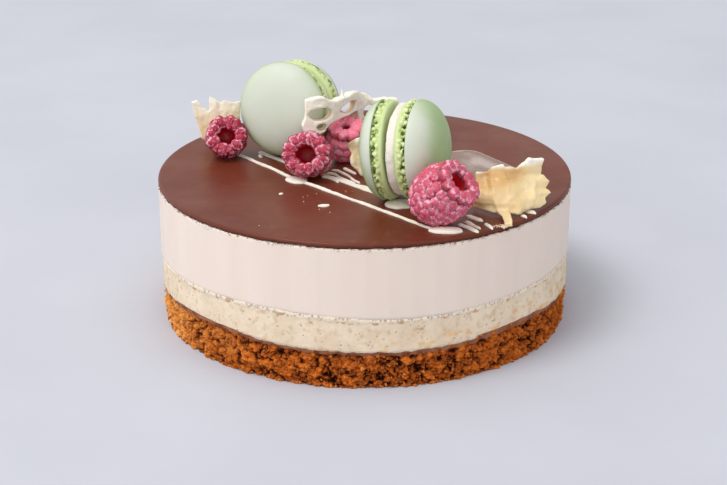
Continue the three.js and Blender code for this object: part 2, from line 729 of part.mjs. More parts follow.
// Where toppings stand, the lines and drops stop.
const TOPPING_ROOMS = [
  { at: [-54, 18.5], size: [5.8, 5.8] },
  { at: [-21.7, -8.1], size: [6.8, 6.4] },
  { at: [-7.7, 10.3], size: [6, 6] },
  { at: [27.2, -61.6], size: [7.5, 6] },
  { at: [14, -35], size: [8.4, 7.6], turn: -0.3 },
  { at: [-28, 21.5], size: [9, 5.5] },
  { at: [-0.5, -9], size: [6.6, 3] },
  { at: [51, -53.5], size: [12.5, 4], turn: 0.1 },
  { at: [50.2, -60], size: [3.2, 8] },
  { at: [63, -47], size: [5, 3.4], turn: 0.8 },
];

const FRONT_MACARON = {
  name: "front_macaron",
  at: [14.2, -34.2],
  axis: [0.947, -0.315, 0.075],
  domeA: 7.7,
  domeB: 10.8,
  splay: 0.04,
  seed: 71,
};

const BACK_MACARON = {
  name: "back_macaron",
  at: [-29.4, 19],
  axis: [0.42, 0.892, -0.167],
  domeA: 8.2,
  domeB: 8.8,
  splay: 0,
  seed: 83,
};

const RASPBERRIES = [
  {
    name: "raspberry_left", at: [-55, 15.3], axis: [0.04, -0.92, 0.38],
    radius: 8.5, length: 15, around: 10, rows: 5, hollow: { radius: 3, depth: 8 }, seed: 101,
  },
  {
    name: "raspberry_middle", at: [-21.9, -9.6], axis: [-0.08, -0.9, 0.42],
    radius: 9, length: 16, around: 11, rows: 5, widen: 1.1,
    hollow: { radius: 3.4, depth: 9 }, seed: 111,
  },
  {
    name: "raspberry_rear", at: [-7.6, 9.7], axis: [0.1, -0.56, 0.82],
    radius: 7.8, length: 17.5, around: 10, rows: 5, hollow: { radius: 2.6, depth: 8 }, seed: 121,
  },
  {
    name: "raspberry_right", at: [27.9, -61.4], axis: [0.66, -0.4, 0.63],
    radius: 11, length: 23.5, around: 12, rows: 7, hollow: { radius: 4, depth: 12 }, seed: 131,
  },
];

addLayers();
addPiece(cake, "chocolate_glaze", glazeGeometry(), LOOKS.glaze);
addMacaron(BACK_MACARON);
addMacaron(FRONT_MACARON);
RASPBERRIES.forEach(addRaspberry);
const addChocolate = (name, geometry) =>
  addPiece(cake, `white_chocolate_${name}`, geometry, LOOKS.whiteChocolate);
addChocolate("shard_left", brokenSheet(SHARD_LEFT));
addChocolate("shard_right", shardWithLeg(SHARD_RIGHT, SHARD_RIGHT_LEG));
addChocolate("lattice", latticeSheet());
addChocolate("knob", brokenSheet(KNOB));

export default cake;
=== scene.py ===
"""The looks of a round layered mousse cake with a glazed top, macarons, raspberries and
white chocolate. Sizes and places are in millimetres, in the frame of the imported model, and
become metres where a mesh is made."""

import math
from itertools import product

import bmesh
import bpy
import numpy as np
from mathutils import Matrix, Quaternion, Vector
from mathutils.bvhtree import BVHTree


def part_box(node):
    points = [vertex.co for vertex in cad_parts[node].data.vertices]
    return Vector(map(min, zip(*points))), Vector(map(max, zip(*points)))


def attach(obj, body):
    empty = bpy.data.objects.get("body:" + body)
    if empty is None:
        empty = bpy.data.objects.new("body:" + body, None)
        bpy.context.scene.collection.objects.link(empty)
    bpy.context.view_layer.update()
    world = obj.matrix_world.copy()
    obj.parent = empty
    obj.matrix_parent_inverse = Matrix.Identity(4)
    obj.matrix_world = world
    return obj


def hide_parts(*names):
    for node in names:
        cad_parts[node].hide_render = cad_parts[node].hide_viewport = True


MM = 0.001
FULL_TURN = 2 * math.pi

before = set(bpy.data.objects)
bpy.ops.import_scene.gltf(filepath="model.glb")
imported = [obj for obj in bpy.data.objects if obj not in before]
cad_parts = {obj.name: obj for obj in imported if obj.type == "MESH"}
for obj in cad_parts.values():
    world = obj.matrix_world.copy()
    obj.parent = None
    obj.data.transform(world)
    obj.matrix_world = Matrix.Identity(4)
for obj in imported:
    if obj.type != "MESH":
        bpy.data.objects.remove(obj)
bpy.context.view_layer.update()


# --- Noise over arrays of points ---

CELL_PRIMES = (73856093, 19349663, 83492791)
SEED_PRIME = 7919
TURN_PRIME = 104729
MIXERS = (np.uint64(0x9E3779B97F4A7C15), np.uint64(0xBF58476D1CE4E5B9))
FAR_OFF = 9.0
OWN_NUMBER = (7.3, 3.1)
OCTAVE_SHIFT = 17.3
CLOUD_GAIN = 1.5


def scattered(cells, seed):
    """Three steady numbers from 0 to 1 for each whole-number cell."""
    whole = cells.astype(np.int64).astype(np.uint64)
    mixed = np.uint64(0)
    for axis, prime in enumerate(CELL_PRIMES):
        mixed = mixed ^ (whole[..., axis] * np.uint64(prime))
    numbers = []
    for turn in (1, 2, 3):
        part = (mixed + np.uint64(seed * SEED_PRIME + turn * TURN_PRIME)) * MIXERS[0]
        part = (part ^ (part >> np.uint64(29))) * MIXERS[1]
        part = part ^ (part >> np.uint64(32))
        numbers.append((part >> np.uint64(40)).astype(float) / 2**24)
    return np.stack(numbers, -1)


def grains(points, size, seed):
    """For grains scattered one to a cell of that size: how far the nearest one is, how much
    farther the next, both in cells, and the nearest one's own number from 0 to 1."""
    spots = points / size
    base = np.floor(spots)
    nearest = np.full(spots.shape[:-1], FAR_OFF)
    second = nearest.copy()
    number = np.zeros(spots.shape[:-1])
    for step in product((-1, 0, 1), repeat=3):
        cell = base + step
        place = scattered(cell, seed)
        reach = np.linalg.norm(cell + place - spots, axis=-1)
        closer = reach < nearest
        second = np.where(closer, nearest, np.minimum(second, reach))
        own = (place[..., 0] * OWN_NUMBER[0] + place[..., 1] * OWN_NUMBER[1]) % 1
        number = np.where(closer, own, number)
        nearest = np.where(closer, reach, nearest)
    return nearest, second - nearest, number


def clouds(points, size, seed, octaves=3):
    """Smooth noise within about -1 to 1 whose largest lumps are of that size."""
    total = 0
    weight = 0
    for octave in range(octaves):
        spots = points * 2**octave / size + OCTAVE_SHIFT * octave
        base = np.floor(spots)
        part = spots - base
        eased = part * part * (3 - 2 * part)
        value = 0
        for corner in product((0, 1), repeat=3):
            share = np.prod(np.where(corner, eased, 1 - eased), axis=-1)
            value = value + share * scattered(base + corner, seed + octave)[..., 0]
        total = total + (value * 2 - 1) * 0.5**octave
        weight += 0.5**octave
    return total / weight * CLOUD_GAIN


def ease(low, high, values):
    """0 below low, 1 above high, smooth between; reversed where low is the larger."""
    part = np.clip((values - low) / (high - low), 0, 1)
    return part * part * (3 - 2 * part)


def pits(nearest, radius):
    """1 at a grain's middle, 0 from that radius out."""
    return np.sqrt(np.clip(1 - (nearest / radius) ** 2, 0, 1))


# --- Meshes ---


def make_piece(name, points, faces, tones, look, replaces=(), flat=False):
    """A mesh from points in millimetres, riding on the cake. Tones are point attributes."""
    mesh = bpy.data.meshes.new(name)
    mesh.from_pydata((np.asarray(points) * MM).tolist(), [], faces)
    mesh.polygons.foreach_set("use_smooth", [not flat] * len(mesh.polygons))
    for key, values in tones.items():
        attribute = mesh.attributes.new(key, "FLOAT", "POINT")
        attribute.data.foreach_set("value", np.ascontiguousarray(values, np.float32).ravel())
    mesh.materials.append(LOOKS[look])
    piece = bpy.data.objects.new(name, mesh)
    bpy.context.scene.collection.objects.link(piece)
    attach(piece, "root")
    if replaces:
        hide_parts(*replaces)


def capped(grid):
    """Points and faces of a grid whose columns go round anticlockwise and whose rows run up,
    closed by a fan at either end."""
    columns, rows = grid.shape[:2]
    here = np.arange(columns * rows).reshape(columns, rows)
    there = np.roll(here, -1, 0)
    quads = np.stack([here[:, :-1], there[:, :-1], there[:, 1:], here[:, 1:]], -1)
    faces = quads.reshape(-1, 4).tolist()
    low = columns * rows
    for column, after in zip(here.tolist(), there.tolist()):
        faces.append([low, after[0], column[0]])
        faces.append([low + 1, column[-1], after[-1]])
    return np.vstack([grid.reshape(-1, 3), grid[:, 0].mean(0), grid[:, -1].mean(0)]), faces


def padded_tones(tones):
    """Tones over a capped grid: its two end points take the mean of their rows."""
    return {
        key: np.append(values.ravel(), [values[:, 0].mean(), values[:, -1].mean()])
        for key, values in tones.items()
    }


def closed_piece(name, grid, tones, look, replaces=(), placed=lambda points: points):
    """A piece from a turned grid with closed ends, its points moved by the function placed."""
    points, faces = capped(grid)
    make_piece(name, placed(points), faces, padded_tones(tones), look, replaces)


def outward(grid):
    """Unit normals of a grid whose columns close on themselves."""
    along = np.roll(grid, -1, 0) - np.roll(grid, 1, 0)
    normal = np.cross(along, np.gradient(grid, axis=1))
    return normal / np.maximum(np.linalg.norm(normal, axis=-1, keepdims=True), 1e-9)


def raised(grid, relief):
    """The grid moved out along its normals."""
    return grid + outward(grid) * relief[..., None]


def bent(points, depth, size, seed):
    """Points pushed about by noise, so that what is laid out on them comes out irregular."""
    return points + depth * np.stack([clouds(points, size, seed + n) for n in range(3)], -1)


def angles(columns):
    return np.arange(columns) / columns * FULL_TURN


def turned_grid(profile, columns):
    """A grid of points from (radius, height) rows turned about Z."""
    profile = np.asarray(profile, float)
    turn = angles(columns)[:, None]
    x = profile[None, :, 0] * np.cos(turn)
    y = profile[None, :, 0] * np.sin(turn)
    return np.stack([x, y, np.broadcast_to(profile[None, :, 1], x.shape)], -1)


def blend(first, last, low, high, at):
    """The value at a place between low, where it is the first, and high, where it is the last."""
    return ((high - at) * first + (at - low) * last) / (high - low)


def smooth_line(line, step):
    """Points a step apart on a smooth curve through the given ones (centripetal)."""
    line = np.asarray(line, float)
    line = np.vstack([2 * line[0] - line[1], line, 2 * line[-1] - line[-2]])
    made = []
    for four in zip(line, line[1:], line[2:], line[3:]):
        spans = [np.linalg.norm(q - p) ** 0.5 for p, q in zip(four, four[1:])]
        knots = np.cumsum([0] + spans)
        count = max(2, int(np.linalg.norm(four[2] - four[1]) / step))
        for at in np.linspace(knots[1], knots[2], count, endpoint=False):
            near = [blend(*four[n : n + 2], *knots[n : n + 2], at) for n in range(3)]
            wide = [blend(*near[n : n + 2], knots[n], knots[n + 2], at) for n in range(2)]
            made.append(blend(*wide, knots[1], knots[2], at))
    made.append(line[-2])
    return np.array(made)


def rounded_ball(detail):
    """Points and triangles of a ball of radius 1."""
    ball = bmesh.new()
    bmesh.ops.create_icosphere(ball, subdivisions=detail, radius=1)
    points = np.array([v.co for v in ball.verts], float)
    faces = np.array([[v.index for v in f.verts] for f in ball.faces], int)
    ball.free()
    return points, faces


def turn_to(direction, spin=0.0):
    """The rotation that takes +Z to a direction, after a spin about Z."""
    turn = Vector((0, 0, 1)).rotation_difference(Vector(direction))
    return np.array((turn @ Quaternion((0, 0, 1), spin)).to_matrix())


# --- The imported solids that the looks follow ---

RAY_CLEARANCE = 10 * MM
RAY_INSET = 2.5 * MM
WALL_MARGIN = 0.004
INNER_RING_DEPTH = 3.0


def solid_tree(node):
    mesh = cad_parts[node].data
    return BVHTree.FromPolygons([v.co for v in mesh.vertices], [p.vertices for p in mesh.polygons])


def wall_grid(node, columns, rows):
    """A grid over the side of a cake layer, columns round it and rows up, on its solid."""
    tree = solid_tree(node)
    low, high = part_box(node)
    reach = high.x + RAY_CLEARANCE
    inside = high.x - RAY_INSET
    up = Vector((0, 0, 1))
    grid = np.zeros((columns, rows, 3))
    for i, angle in enumerate(angles(columns)):
        out = Vector((math.cos(angle), math.sin(angle), 0))
        top = tree.ray_cast(out * inside + up * (high.z + RAY_CLEARANCE), -up)[0].z
        base = tree.ray_cast(out * inside + up * (low.z - RAY_CLEARANCE), up)[0].z
        for j in range(rows):
            share = WALL_MARGIN + (1 - 2 * WALL_MARGIN) * j / (rows - 1)
            height = base + (top - base) * share
            hit = tree.ray_cast(out * reach + up * height, -out)[0]
            grid[i, j] = hit if hit else out * inside + up * height
    return grid / MM


def with_inner_rings(grid):
    """The wall grid with a ring inside its lower and its upper edge."""
    scale = 1 - INNER_RING_DEPTH / np.linalg.norm(grid[0, 0, :2])
    lower = grid[:, :1] * (scale, scale, 1)
    upper = grid[:, -1:] * (scale, scale, 1)
    return np.concatenate([lower, grid, upper], 1)


def flat_face(node):
    """The middle and the outward normal of a solid's largest flat face."""
    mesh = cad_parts[node].data
    found = {}
    for polygon in mesh.polygons:
        key = tuple(round(x, 2) for x in polygon.normal)
        area, middle, normal = found.get(key, (0, Vector(), polygon.normal.copy()))
        found[key] = (area + polygon.area, middle + polygon.center * polygon.area, normal)
    area, middle, normal = max(found.values(), key=lambda each: each[0])
    return np.array(middle / area) / MM, np.array(normal)


def fit_to(points, node):
    """Points moved so that their box shares its middle with the node's solid."""
    low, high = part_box(node)
    wanted = (np.array(low) + np.array(high)) / 2 / MM
    return points + wanted - (points.min(0) + points.max(0)) / 2


def glaze_height(x, y):
    hit = solid_tree("chocolate_glaze").ray_cast(Vector((x * MM, y * MM, 1)), Vector((0, 0, -1)))
    return hit[0].z / MM


CAKE_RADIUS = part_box("mousse_layer")[1].x / MM
CAKE_TOP = glaze_height(-50, -30)
GLAZE_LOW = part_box("chocolate_glaze")[0].z / MM


# --- Materials ---

NOISE_LUMP = 0.6


class Look:
    """A procedural material built from a few kinds of node."""

    def __init__(self, name, shine, spread=None, **settings):
        """Spread is the weight, depth in millimetres and radii of light under the surface."""
        self.material = bpy.data.materials.new(name)
        self.material.use_nodes = True
        self.tree = self.material.node_tree
        self.shader = self.tree.nodes["Principled BSDF"]
        self.place = self.tree.nodes.new("ShaderNodeTexCoord").outputs["Object"]
        settings["Specular IOR Level"] = shine
        if spread:
            settings["Subsurface Weight"] = spread[0]
            settings["Subsurface Scale"] = spread[1] * MM
            settings["Subsurface Radius"] = spread[2]
        for key, value in settings.items():
            self.shader.inputs[key].default_value = value

    def wire(self, node, key, value):
        """Sets an input to a value, or links it to a socket or to the tone of that name."""
        value = self.tone(value) if isinstance(value, str) else value
        if isinstance(value, bpy.types.NodeSocket):
            self.tree.links.new(value, node.inputs[key])
        else:
            node.inputs[key].default_value = value

    def node(self, kind, inputs):
        node = self.tree.nodes.new("ShaderNode" + kind)
        for key, value in inputs.items():
            self.wire(node, key, value)
        return node

    def tone(self, name):
        node = self.node("Attribute", {})
        node.attribute_name = name
        return node.outputs["Fac"]

    def noise(self, size, detail=4.0, stretch=(1, 1, 1)):
        """Smooth noise whose lumps are about that many millimetres wide."""
        place = self.node("Mapping", {"Vector": self.place, "Scale": stretch}).outputs["Vector"]
        inputs = {"Vector": place, "Scale": NOISE_LUMP / (size * MM), "Detail": detail}
        return self.node("TexNoise", inputs).outputs["Fac"]

    def between(self, value, low, high, out_low=0.0, out_high=1.0):
        """Goes smoothly from one outcome to the other as the value goes from low to high."""
        node = self.node("MapRange", dict(enumerate((value, low, high, out_low, out_high))))
        node.interpolation_type = "SMOOTHSTEP"
        return node.outputs[0]

    def patches(self, size, low=0.35, high=0.65, out_low=0.0, out_high=1.0, **noise):
        """Patches with soft edges, about that many millimetres wide."""
        return self.between(self.noise(size, **noise), low, high, out_low, out_high)

    def worn(self, size, least, most):
        """A roughness that changes in patches."""
        return self.patches(size, 0.3, 0.7, least, most)

    def dots(self, size, inner, outer, share):
        """Dots about that many millimetres apart, of that share in their middles."""
        inputs = {"Vector": self.place, "Scale": 1 / (size * MM)}
        reach = self.node("TexVoronoi", inputs).outputs["Distance"]
        return self.between(reach, inner, outer, share, 0.0)

    def maths(self, operation, a, b):
        node = self.node("Math", {0: a, 1: b})
        node.operation = operation
        return node.outputs[0]

    def over(self, color, *layers):
        """A colour with others laid over it in turn, each by its share."""
        for share, above in layers:
            node = self.tree.nodes.new("ShaderNodeMix")
            node.data_type = "RGBA"
            for key, value in ((0, share), (6, linear(color)), (7, linear(above))):
                self.wire(node, key, value)
            color = node.outputs[2]
        return color

    def finish(self, color, relief, rough):
        """The material, with relief from noise of a size, detail and depth, and a roughness that
        is given or worn."""
        size, detail, depth = relief
        inputs = {"Distance": depth * MM, "Height": self.noise(size, detail)}
        self.wire(self.shader, "Normal", self.node("Bump", inputs).outputs["Normal"])
        self.wire(self.shader, "Base Color", color)
        self.wire(self.shader, "Roughness", self.worn(*rough) if isinstance(rough, tuple) else rough)
        return self.material


def linear(color):
    """A linear colour from the 0 to 255 values that a screen shows. A socket stays itself."""
    if isinstance(color, bpy.types.NodeSocket):
        return color
    shares = [value / 255 for value in color]
    return (*(c / 12.92 if c <= 0.04045 else ((c + 0.055) / 1.055) ** 2.4 for c in shares), 1)


def sponge_look():
    look = Look("sponge_crumb", 0.12)
    # lump: each lump's own tone, plus a painted highlight on the raised lumps
    dark = look.over((158, 74, 22), ("lump", (216, 116, 40)))
    pale = look.over((234, 138, 56), ("lump", (252, 184, 100)))
    color = look.over(
        dark,
        # pale: a paler crumb with painted light on the left side, which faces the key light
        ("pale", pale),
        (look.patches(0.5, 0.5, 0.72, 0.0, 0.7, detail=6), (128, 56, 16)),
        # deep: painted shade in the clefts and pores
        ("deep", (48, 15, 4)),
    )
    return look.finish(color, (0.6, 10, 0.6), (0.8, 0.75, 0.95))


def crumb_look(name, pale, dark):
    look = Look(name, 0.25)
    color = look.over(dark, ("lump", pale), (look.patches(0.4, 0.45, 0.7), dark))
    return look.finish(color, (0.25, 6, 0.15), (0.8, 0.7, 0.9))


def ganache_look():
    look = Look("ganache_cream", 0.35)
    color = look.over(
        (164, 104, 72), (look.patches(5), (136, 80, 50)), ("deep", (112, 56, 30))
    )
    return look.finish(color, (0.7, 5, 0.08), (2, 0.45, 0.7))


def nut_cream_look():
    look = Look("nut_cream", 0.3, (0.15, 1, (1.0, 0.7, 0.4)))
    sparse = look.patches(3.5, 0.48, 0.56, detail=1)
    specks = look.maths("MULTIPLY", look.dots(1.5, 0.09, 0.15, 1.0), sparse)
    color = look.over(
        (240, 222, 198),
        (look.patches(6), (230, 210, 184)),
        (look.patches(1.6, 0.5, 0.72), (216, 194, 164)),
        ("lace", (242, 227, 206)),
        ("blotch", (232, 180, 104)),
        ("nut", (202, 158, 112)),
        (specks, (96, 84, 60)),
        # deep: painted shade in the froth holes, the pores and the creases round the nut bits
        ("deep", (128, 104, 74)),
    )
    return look.finish(color, (0.6, 6, 0.14), (1.5, 0.55, 0.75))


def mousse_look():
    look = Look("mousse", 0.35, (0.3, 1.5, (1.0, 0.75, 0.6)))
    color = look.over(
        (239, 224, 213),
        (look.patches(6, detail=2, stretch=(1, 1, 0.08)), (236, 220, 208)),
        (look.patches(14), (237, 221, 210)),
        # Darker dots: painted shade of tiny pits.
        (look.dots(2.4, 0.05, 0.08, 0.5), (205, 186, 172)),
        # deep: painted shade in the dents along the top edge, under the glaze
        ("deep", (214, 194, 180)),
    )
    return look.finish(color, (0.5, 4, 0.03), (2, 0.42, 0.55))


def glaze_look():
    look = Look("chocolate_glaze", 0.28)
    color = look.over(
        (112, 52, 33),
        (look.patches(40, detail=2), (102, 44, 26)),
        (look.patches(3, 0.55, 0.75), (117, 57, 38)),
        (look.dots(4.5, 0.02, 0.045, 0.7), (168, 130, 112)),
        ("torn", (64, 28, 16)),
    )
    torn = look.maths("MULTIPLY", "torn", 0.4)
    return look.finish(color, (0.9, 5, 0.012), look.maths("ADD", look.worn(9, 0.3, 0.42), torn))


def white_chocolate_look(name, pale, warm, clear=0.2):
    look = Look(name, 0.45, (clear, 1.5, (1.0, 0.7, 0.35)))
    color = look.over(
        pale,
        (look.patches(5, 0.35, 0.7), warm),
        # warm: a warmer tone of the chocolate, and painted shade in the right shard's fold, between the
        # knob's lobes and on the lattice's cell walls
        ("warm", (222, 180, 120)),
        # edge: near-white, a painted highlight on the shards' upper parts and on the knob's lobes
        ("edge", (255, 248, 234)),
        (look.dots(3.1, 0.03, 0.06, 0.5), warm),
    )
    return look.finish(color, (1.6, 3, 0.03), (1.8, 0.28, 0.45))


def shell_look():
    look = Look("macaron_shell", 0.35, (0.1, 1, (0.8, 1.0, 0.6)))
    # A whitish painted sheen, over some bloom of the shell, on the side of each dome that faces front
    # and up.
    bloom_and_sheen = look.maths("ADD", "bloom_and_sheen", look.patches(7, 0.3, 0.7, -0.15, 0.15))
    foot = look.over(
        (212, 226, 158),
        (look.patches(1.2), (194, 212, 134)),
        ("rim", (206, 224, 166)),
        # lump: painted highlight on the foot's raised frills
        ("lump", (236, 243, 206)),
        # deep: painted shade in the foot's pores and clefts
        ("deep", (92, 116, 40)),
    )
    color = look.over(
        (166, 191, 138),
        (look.between(bloom_and_sheen, 0.1, 1.0), (207, 214, 199)),
        (look.dots(1.7, 0.04, 0.09, 0.25), (162, 178, 138)),
        ("foot", foot),
    )
    return look.finish(color, (0.45, 6, 0.035), (2.5, 0.42, 0.6))


def filling_look():
    look = Look("macaron_filling", 0.35, (0.2, 1, (1.0, 0.7, 0.5)))
    color = look.over(
        # deep: painted shade in the dents of the filling's side
        (243, 236, 229), (look.patches(3), (234, 225, 214)), ("deep", (208, 190, 160))
    )
    return look.finish(color, (0.8, 5, 0.08), (1.5, 0.5, 0.7))


def berry_look():
    look = Look("frosted_raspberry", 0.5, (0.3, 1, (1.6, 0.4, 0.5)))
    patches = look.patches(0.7, 0.4, 0.64, -0.45, 0.45, detail=6)
    frost = look.between(look.maths("ADD", "frost", patches), 0.3, 1.25)
    sparse = look.patches(1.4, 0.42, 0.58, detail=2)
    color = look.over(
        (158, 14, 50),
        (look.patches(2.6), (184, 34, 74)),
        # rosy: a rosier flesh, and painted light that lifts the rear berry in the shade of the lattice
        # and macaron
        ("rosy", (252, 128, 156)),
        (frost, (234, 172, 192)),
        (look.maths("MULTIPLY", look.dots(0.55, 0.16, 0.28, 0.85), sparse), (255, 234, 240)),
        ("cup", (222, 18, 40)),
        # deep: painted shade at each drupelet's base, on the core between drupelets and down in the
        # hollow
        ("deep", (104, 2, 20)),
    )
    return look.finish(color, (0.3, 6, 0.12), (0.8, 0.3, 0.6))


def smear_look():
    look = Look("clear_smear", 0.5, Alpha=0.5)
    color = look.over(
        (202, 178, 166), ("blotch", (228, 212, 206)), ("rim", (236, 222, 214))
    )
    veil = look.maths("ADD", 0.42, look.maths("MULTIPLY", "rim", 0.3))
    veil = look.maths("ADD", veil, look.maths("MULTIPLY", "blotch", 0.22))
    look.wire(look.shader, "Alpha", veil)
    return look.finish(color, (1.4, 4, 0.03), (4, 0.2, 0.35))


LOOKS = {
    "sponge": sponge_look(),
    "sponge_crumbs": crumb_look("sponge_crumbs", (232, 142, 62), (150, 72, 24)),
    "ganache": ganache_look(),
    "nut_cream": nut_cream_look(),
    "mousse": mousse_look(),
    "glaze": glaze_look(),
    "glaze_crumbs": crumb_look("glaze_crumbs", (140, 86, 66), (92, 50, 34)),
    "biscuit_crumbs": crumb_look("biscuit_crumbs", (222, 150, 84), (176, 96, 44)),
    "sheet": white_chocolate_look("white_chocolate", (242, 222, 176), (232, 205, 154)),
    "lattice": white_chocolate_look("lattice_chocolate", (255, 252, 246), (254, 246, 230), 0.4),
    "drizzle": white_chocolate_look("drizzle_chocolate", (252, 244, 234), (246, 234, 216)),
    "drizzle_crumbs": crumb_look("drizzle_crumbs", (246, 236, 218), (220, 196, 160)),
    "shell": shell_look(),
    "filling": filling_look(),
    "berry": berry_look(),
    "smear": smear_look(),
}


# --- Cake layers ---

# Columns round each layer's side, and rows up it.
LAYER_MESH = {
    "sponge_base": (1600, 60),
    "ganache_layer": (1100, 10),
    "nut_cream_layer": (1500, 46),
    "mousse_layer": (1000, 40),
}
SPONGE_GRAIN = 3.0
SPONGE_FINE_GRAIN = 0.42 * SPONGE_GRAIN
SPONGE_HOLE = 2.6
SPONGE_DEEPEST = -2.2
SPONGE_HIGHEST = 1.1
NUT_LACE = 1.6
NUT_SPACING = (5, 17)
LEAST_HEIGHT = 0.02
# For each kind of crumb: how many, smallest and largest size, seed, look and slot.
CRUMBS = {
    "sponge_crumbs": (1100, (0.3, 0.8), 31, "sponge_crumbs", "sponge"),
    "sponge_top_crumbs": (1000, (0.2, 0.6), 37, "sponge_crumbs", "sponge"),
    "sponge_foot_crumbs": (420, (0.3, 0.7), 32, "sponge_crumbs", "sponge"),
    "glaze_edge_crumbs": (650, (0.08, 0.2), 33, "glaze_crumbs", "glaze"),
    "chocolate_specks": (10, (0.12, 0.28), 34, "drizzle_crumbs", "white_chocolate"),
    "biscuit_crumbs": (5, (0.3, 0.65), 35, "biscuit_crumbs", "sponge"),
    "shard_crumbs": (22, (0.15, 0.5), 36, "drizzle_crumbs", "white_chocolate"),
}


def layer_wall(node):
    return wall_grid(node, *LAYER_MESH[node])


def from_left(grid):
    """Degrees round from the cake's left, positive by way of the front."""
    return np.degrees(np.arctan2(-grid[..., 1], -grid[..., 0]))


def below_top(grid):
    return grid[:, -1:, 2] - grid[..., 2]


def above_base(grid):
    return grid[..., 2] - grid[:, :1, 2]


def edge_rows(tones):
    """The tones of a wall, repeated on the rings inside its lower and upper edges."""
    return {key: np.pad(values, ((0, 0), (1, 1)), mode="edge") for key, values in tones.items()}


def add_layer(name, wall, tones, node):
    """A layer whose look has its own name."""
    closed_piece(name, with_inner_rings(wall), edge_rows(tones), name, [node])


def add_sponge():
    """Angular lumps of crumb with clefts and pores between them, darkened by painted shade."""
    grid = layer_wall("sponge_base")
    spots = bent(grid, 0.7, 1.8, 6)
    lump, cleft, number = grains(spots * (1, 1, 1.15), SPONGE_GRAIN, 1)
    fine, fine_cleft, fine_number = grains(spots, SPONGE_FINE_GRAIN, 2)
    open_crumb = ease(-0.6, 0.4, clouds(grid, 5, 10))
    reach, _, hole_number = grains(spots * (0.8, 0.8, 1.3), SPONGE_HOLE, 3)
    hole = pits(reach, 0.42) * (hole_number > 0.35) * open_crumb
    relief = 0.9 * (0.42 - lump) + 0.4 * (0.4 - fine) + 1.1 * (number - 0.5)
    relief += 0.3 * (fine_number - 0.5) + 0.8 * clouds(spots * (1, 1, 1.4), 1.6, 12)
    relief -= 0.9 * ease(0.16, 0.0, cleft) * open_crumb
    relief -= 0.35 * ease(0.2, 0.0, fine_cleft) + 1.6 * hole
    rows = grid.shape[1]
    row = np.arange(rows)[None, :]
    moved = raised(grid, np.clip(relief, SPONGE_DEEPEST, SPONGE_HIGHEST) * ease(-4, 3, row))
    lifted = ease(rows - 10, rows - 1, row) * (0.5 + 1.0 * ease(-0.2, 0.7, clouds(grid, 1.9, 11)))
    moved[..., 2] = np.maximum(moved[..., 2] + lifted, LEAST_HEIGHT)
    around = from_left(grid)
    # A paler crumb with painted light on the left side, which faces the key light.
    pale = ease(66, 6, around + 16 * clouds(grid, 9, 9)) * ease(-120, -60, around)
    tones = {
        # Painted shade where the relief sinks into clefts and pores, less of it on the left side that
        # gets painted light.
        "deep": ease(-0.35, -1.25, relief) * (1 - 0.45 * pale),
        # A random tone for each lump, plus a painted highlight where the relief stands out.
        "lump": np.clip(0.55 * number + 0.25 * fine_number + 0.45 * ease(-0.2, 0.7, relief), 0, 1),
        "pale": pale,
    }
    add_layer("sponge", moved, tones, "sponge_base")
    return moved


def add_crumbs(name, place_at):
    """Angular crumbs as one piece, each at a place that place_at draws."""
    count, sizes, seed, look, slot = CRUMBS[name]
    ball, triangles = rounded_ball(1)
    random = np.random.default_rng(seed)
    points = []
    tones = []
    for index in range(count):
        place = place_at(random)
        size = random.uniform(*sizes)
        stretch = random.uniform(0.6, 1.25, 3)
        crag = 1 + 0.45 * clouds(ball * 1.1 + index * 3.7, 1.0, seed, 1)
        axis = random.normal(size=3)
        turned = (ball * crag[:, None] * stretch * size) @ turn_to(axis, random.uniform(0, 6)).T
        points.append(turned + place)
        tones.append(np.full(len(ball), random.uniform(0, 1)))
    points = np.vstack(points)
    points[:, 2] = np.maximum(points[:, 2], LEAST_HEIGHT)
    faces = np.vstack([triangles + index * len(ball) for index in range(count)]).tolist()
    make_piece(name, points, faces, {"lump": np.concatenate(tones)}, look, flat=True)


def add_sponge_crumbs(wall):
    columns, rows = wall.shape[:2]

    def on_side(random):
        place = wall[random.integers(columns), random.integers(1, rows)]
        return place * (0.9965, 0.9965, 1) + (0, 0, random.uniform(-0.2, 0.2))

    def over_ganache(random):
        place = wall[random.integers(columns), rows - 1]
        return place * (1.001, 1.001, 1) + (0, 0, min(random.exponential(0.75), 3))

    def at_foot(random):
        place = wall[random.integers(columns), 0]
        return place * (1.001, 1.001, 1) + (0, 0, random.uniform(0.2, 0.7))

    add_crumbs("sponge_crumbs", on_side)
    add_crumbs("sponge_top_crumbs", over_ganache)
    add_crumbs("sponge_foot_crumbs", at_foot)


def add_ganache():
    grid = layer_wall("ganache_layer")
    share = np.linspace(0, 1, grid.shape[1])[None, :]
    relief = 0.2 * clouds(grid, 3.2, 41) + 0.12 * clouds(grid, 1, 42) - 0.25 * (1 - share) ** 3
    moved = raised(grid, relief)
    moved[..., 2] += 0.3 * share**3 - (0.4 - 0.6 * clouds(grid[:, :1], 2.6, 43)) * (1 - share) ** 2
    stained = ease(-0.1, 0.7, clouds(grid, 1.9, 44) + 0.8 * (0.6 - share))
    add_layer("ganache", moved, {"deep": stained}, "ganache_layer")


def nut_bits(grid):
    """1 on the flat bits of nut that lie a little under the layer's upper edge."""
    random = np.random.default_rng(59)
    around = np.arctan2(grid[..., 1], grid[..., 0]) * CAKE_RADIUS
    span = FULL_TURN * CAKE_RADIUS
    shown = np.zeros(grid.shape[:2])
    place = 0.0
    while place < span:
        place += random.uniform(*NUT_SPACING)
        depth = random.uniform(0.7, 1.5) if random.uniform() < 0.75 else random.uniform(1.5, 9)
        length, height = random.uniform(0.7, 1.6), random.uniform(0.35, 0.6)
        across = (around - place + 1.5 * span) % span - span / 2
        reach = np.hypot(across / length, (below_top(grid) - depth) / height)
        shown = np.maximum(shown, ease(1.15, 0.7, reach + 0.25 * clouds(grid, 0.8, 60)))
    return shown


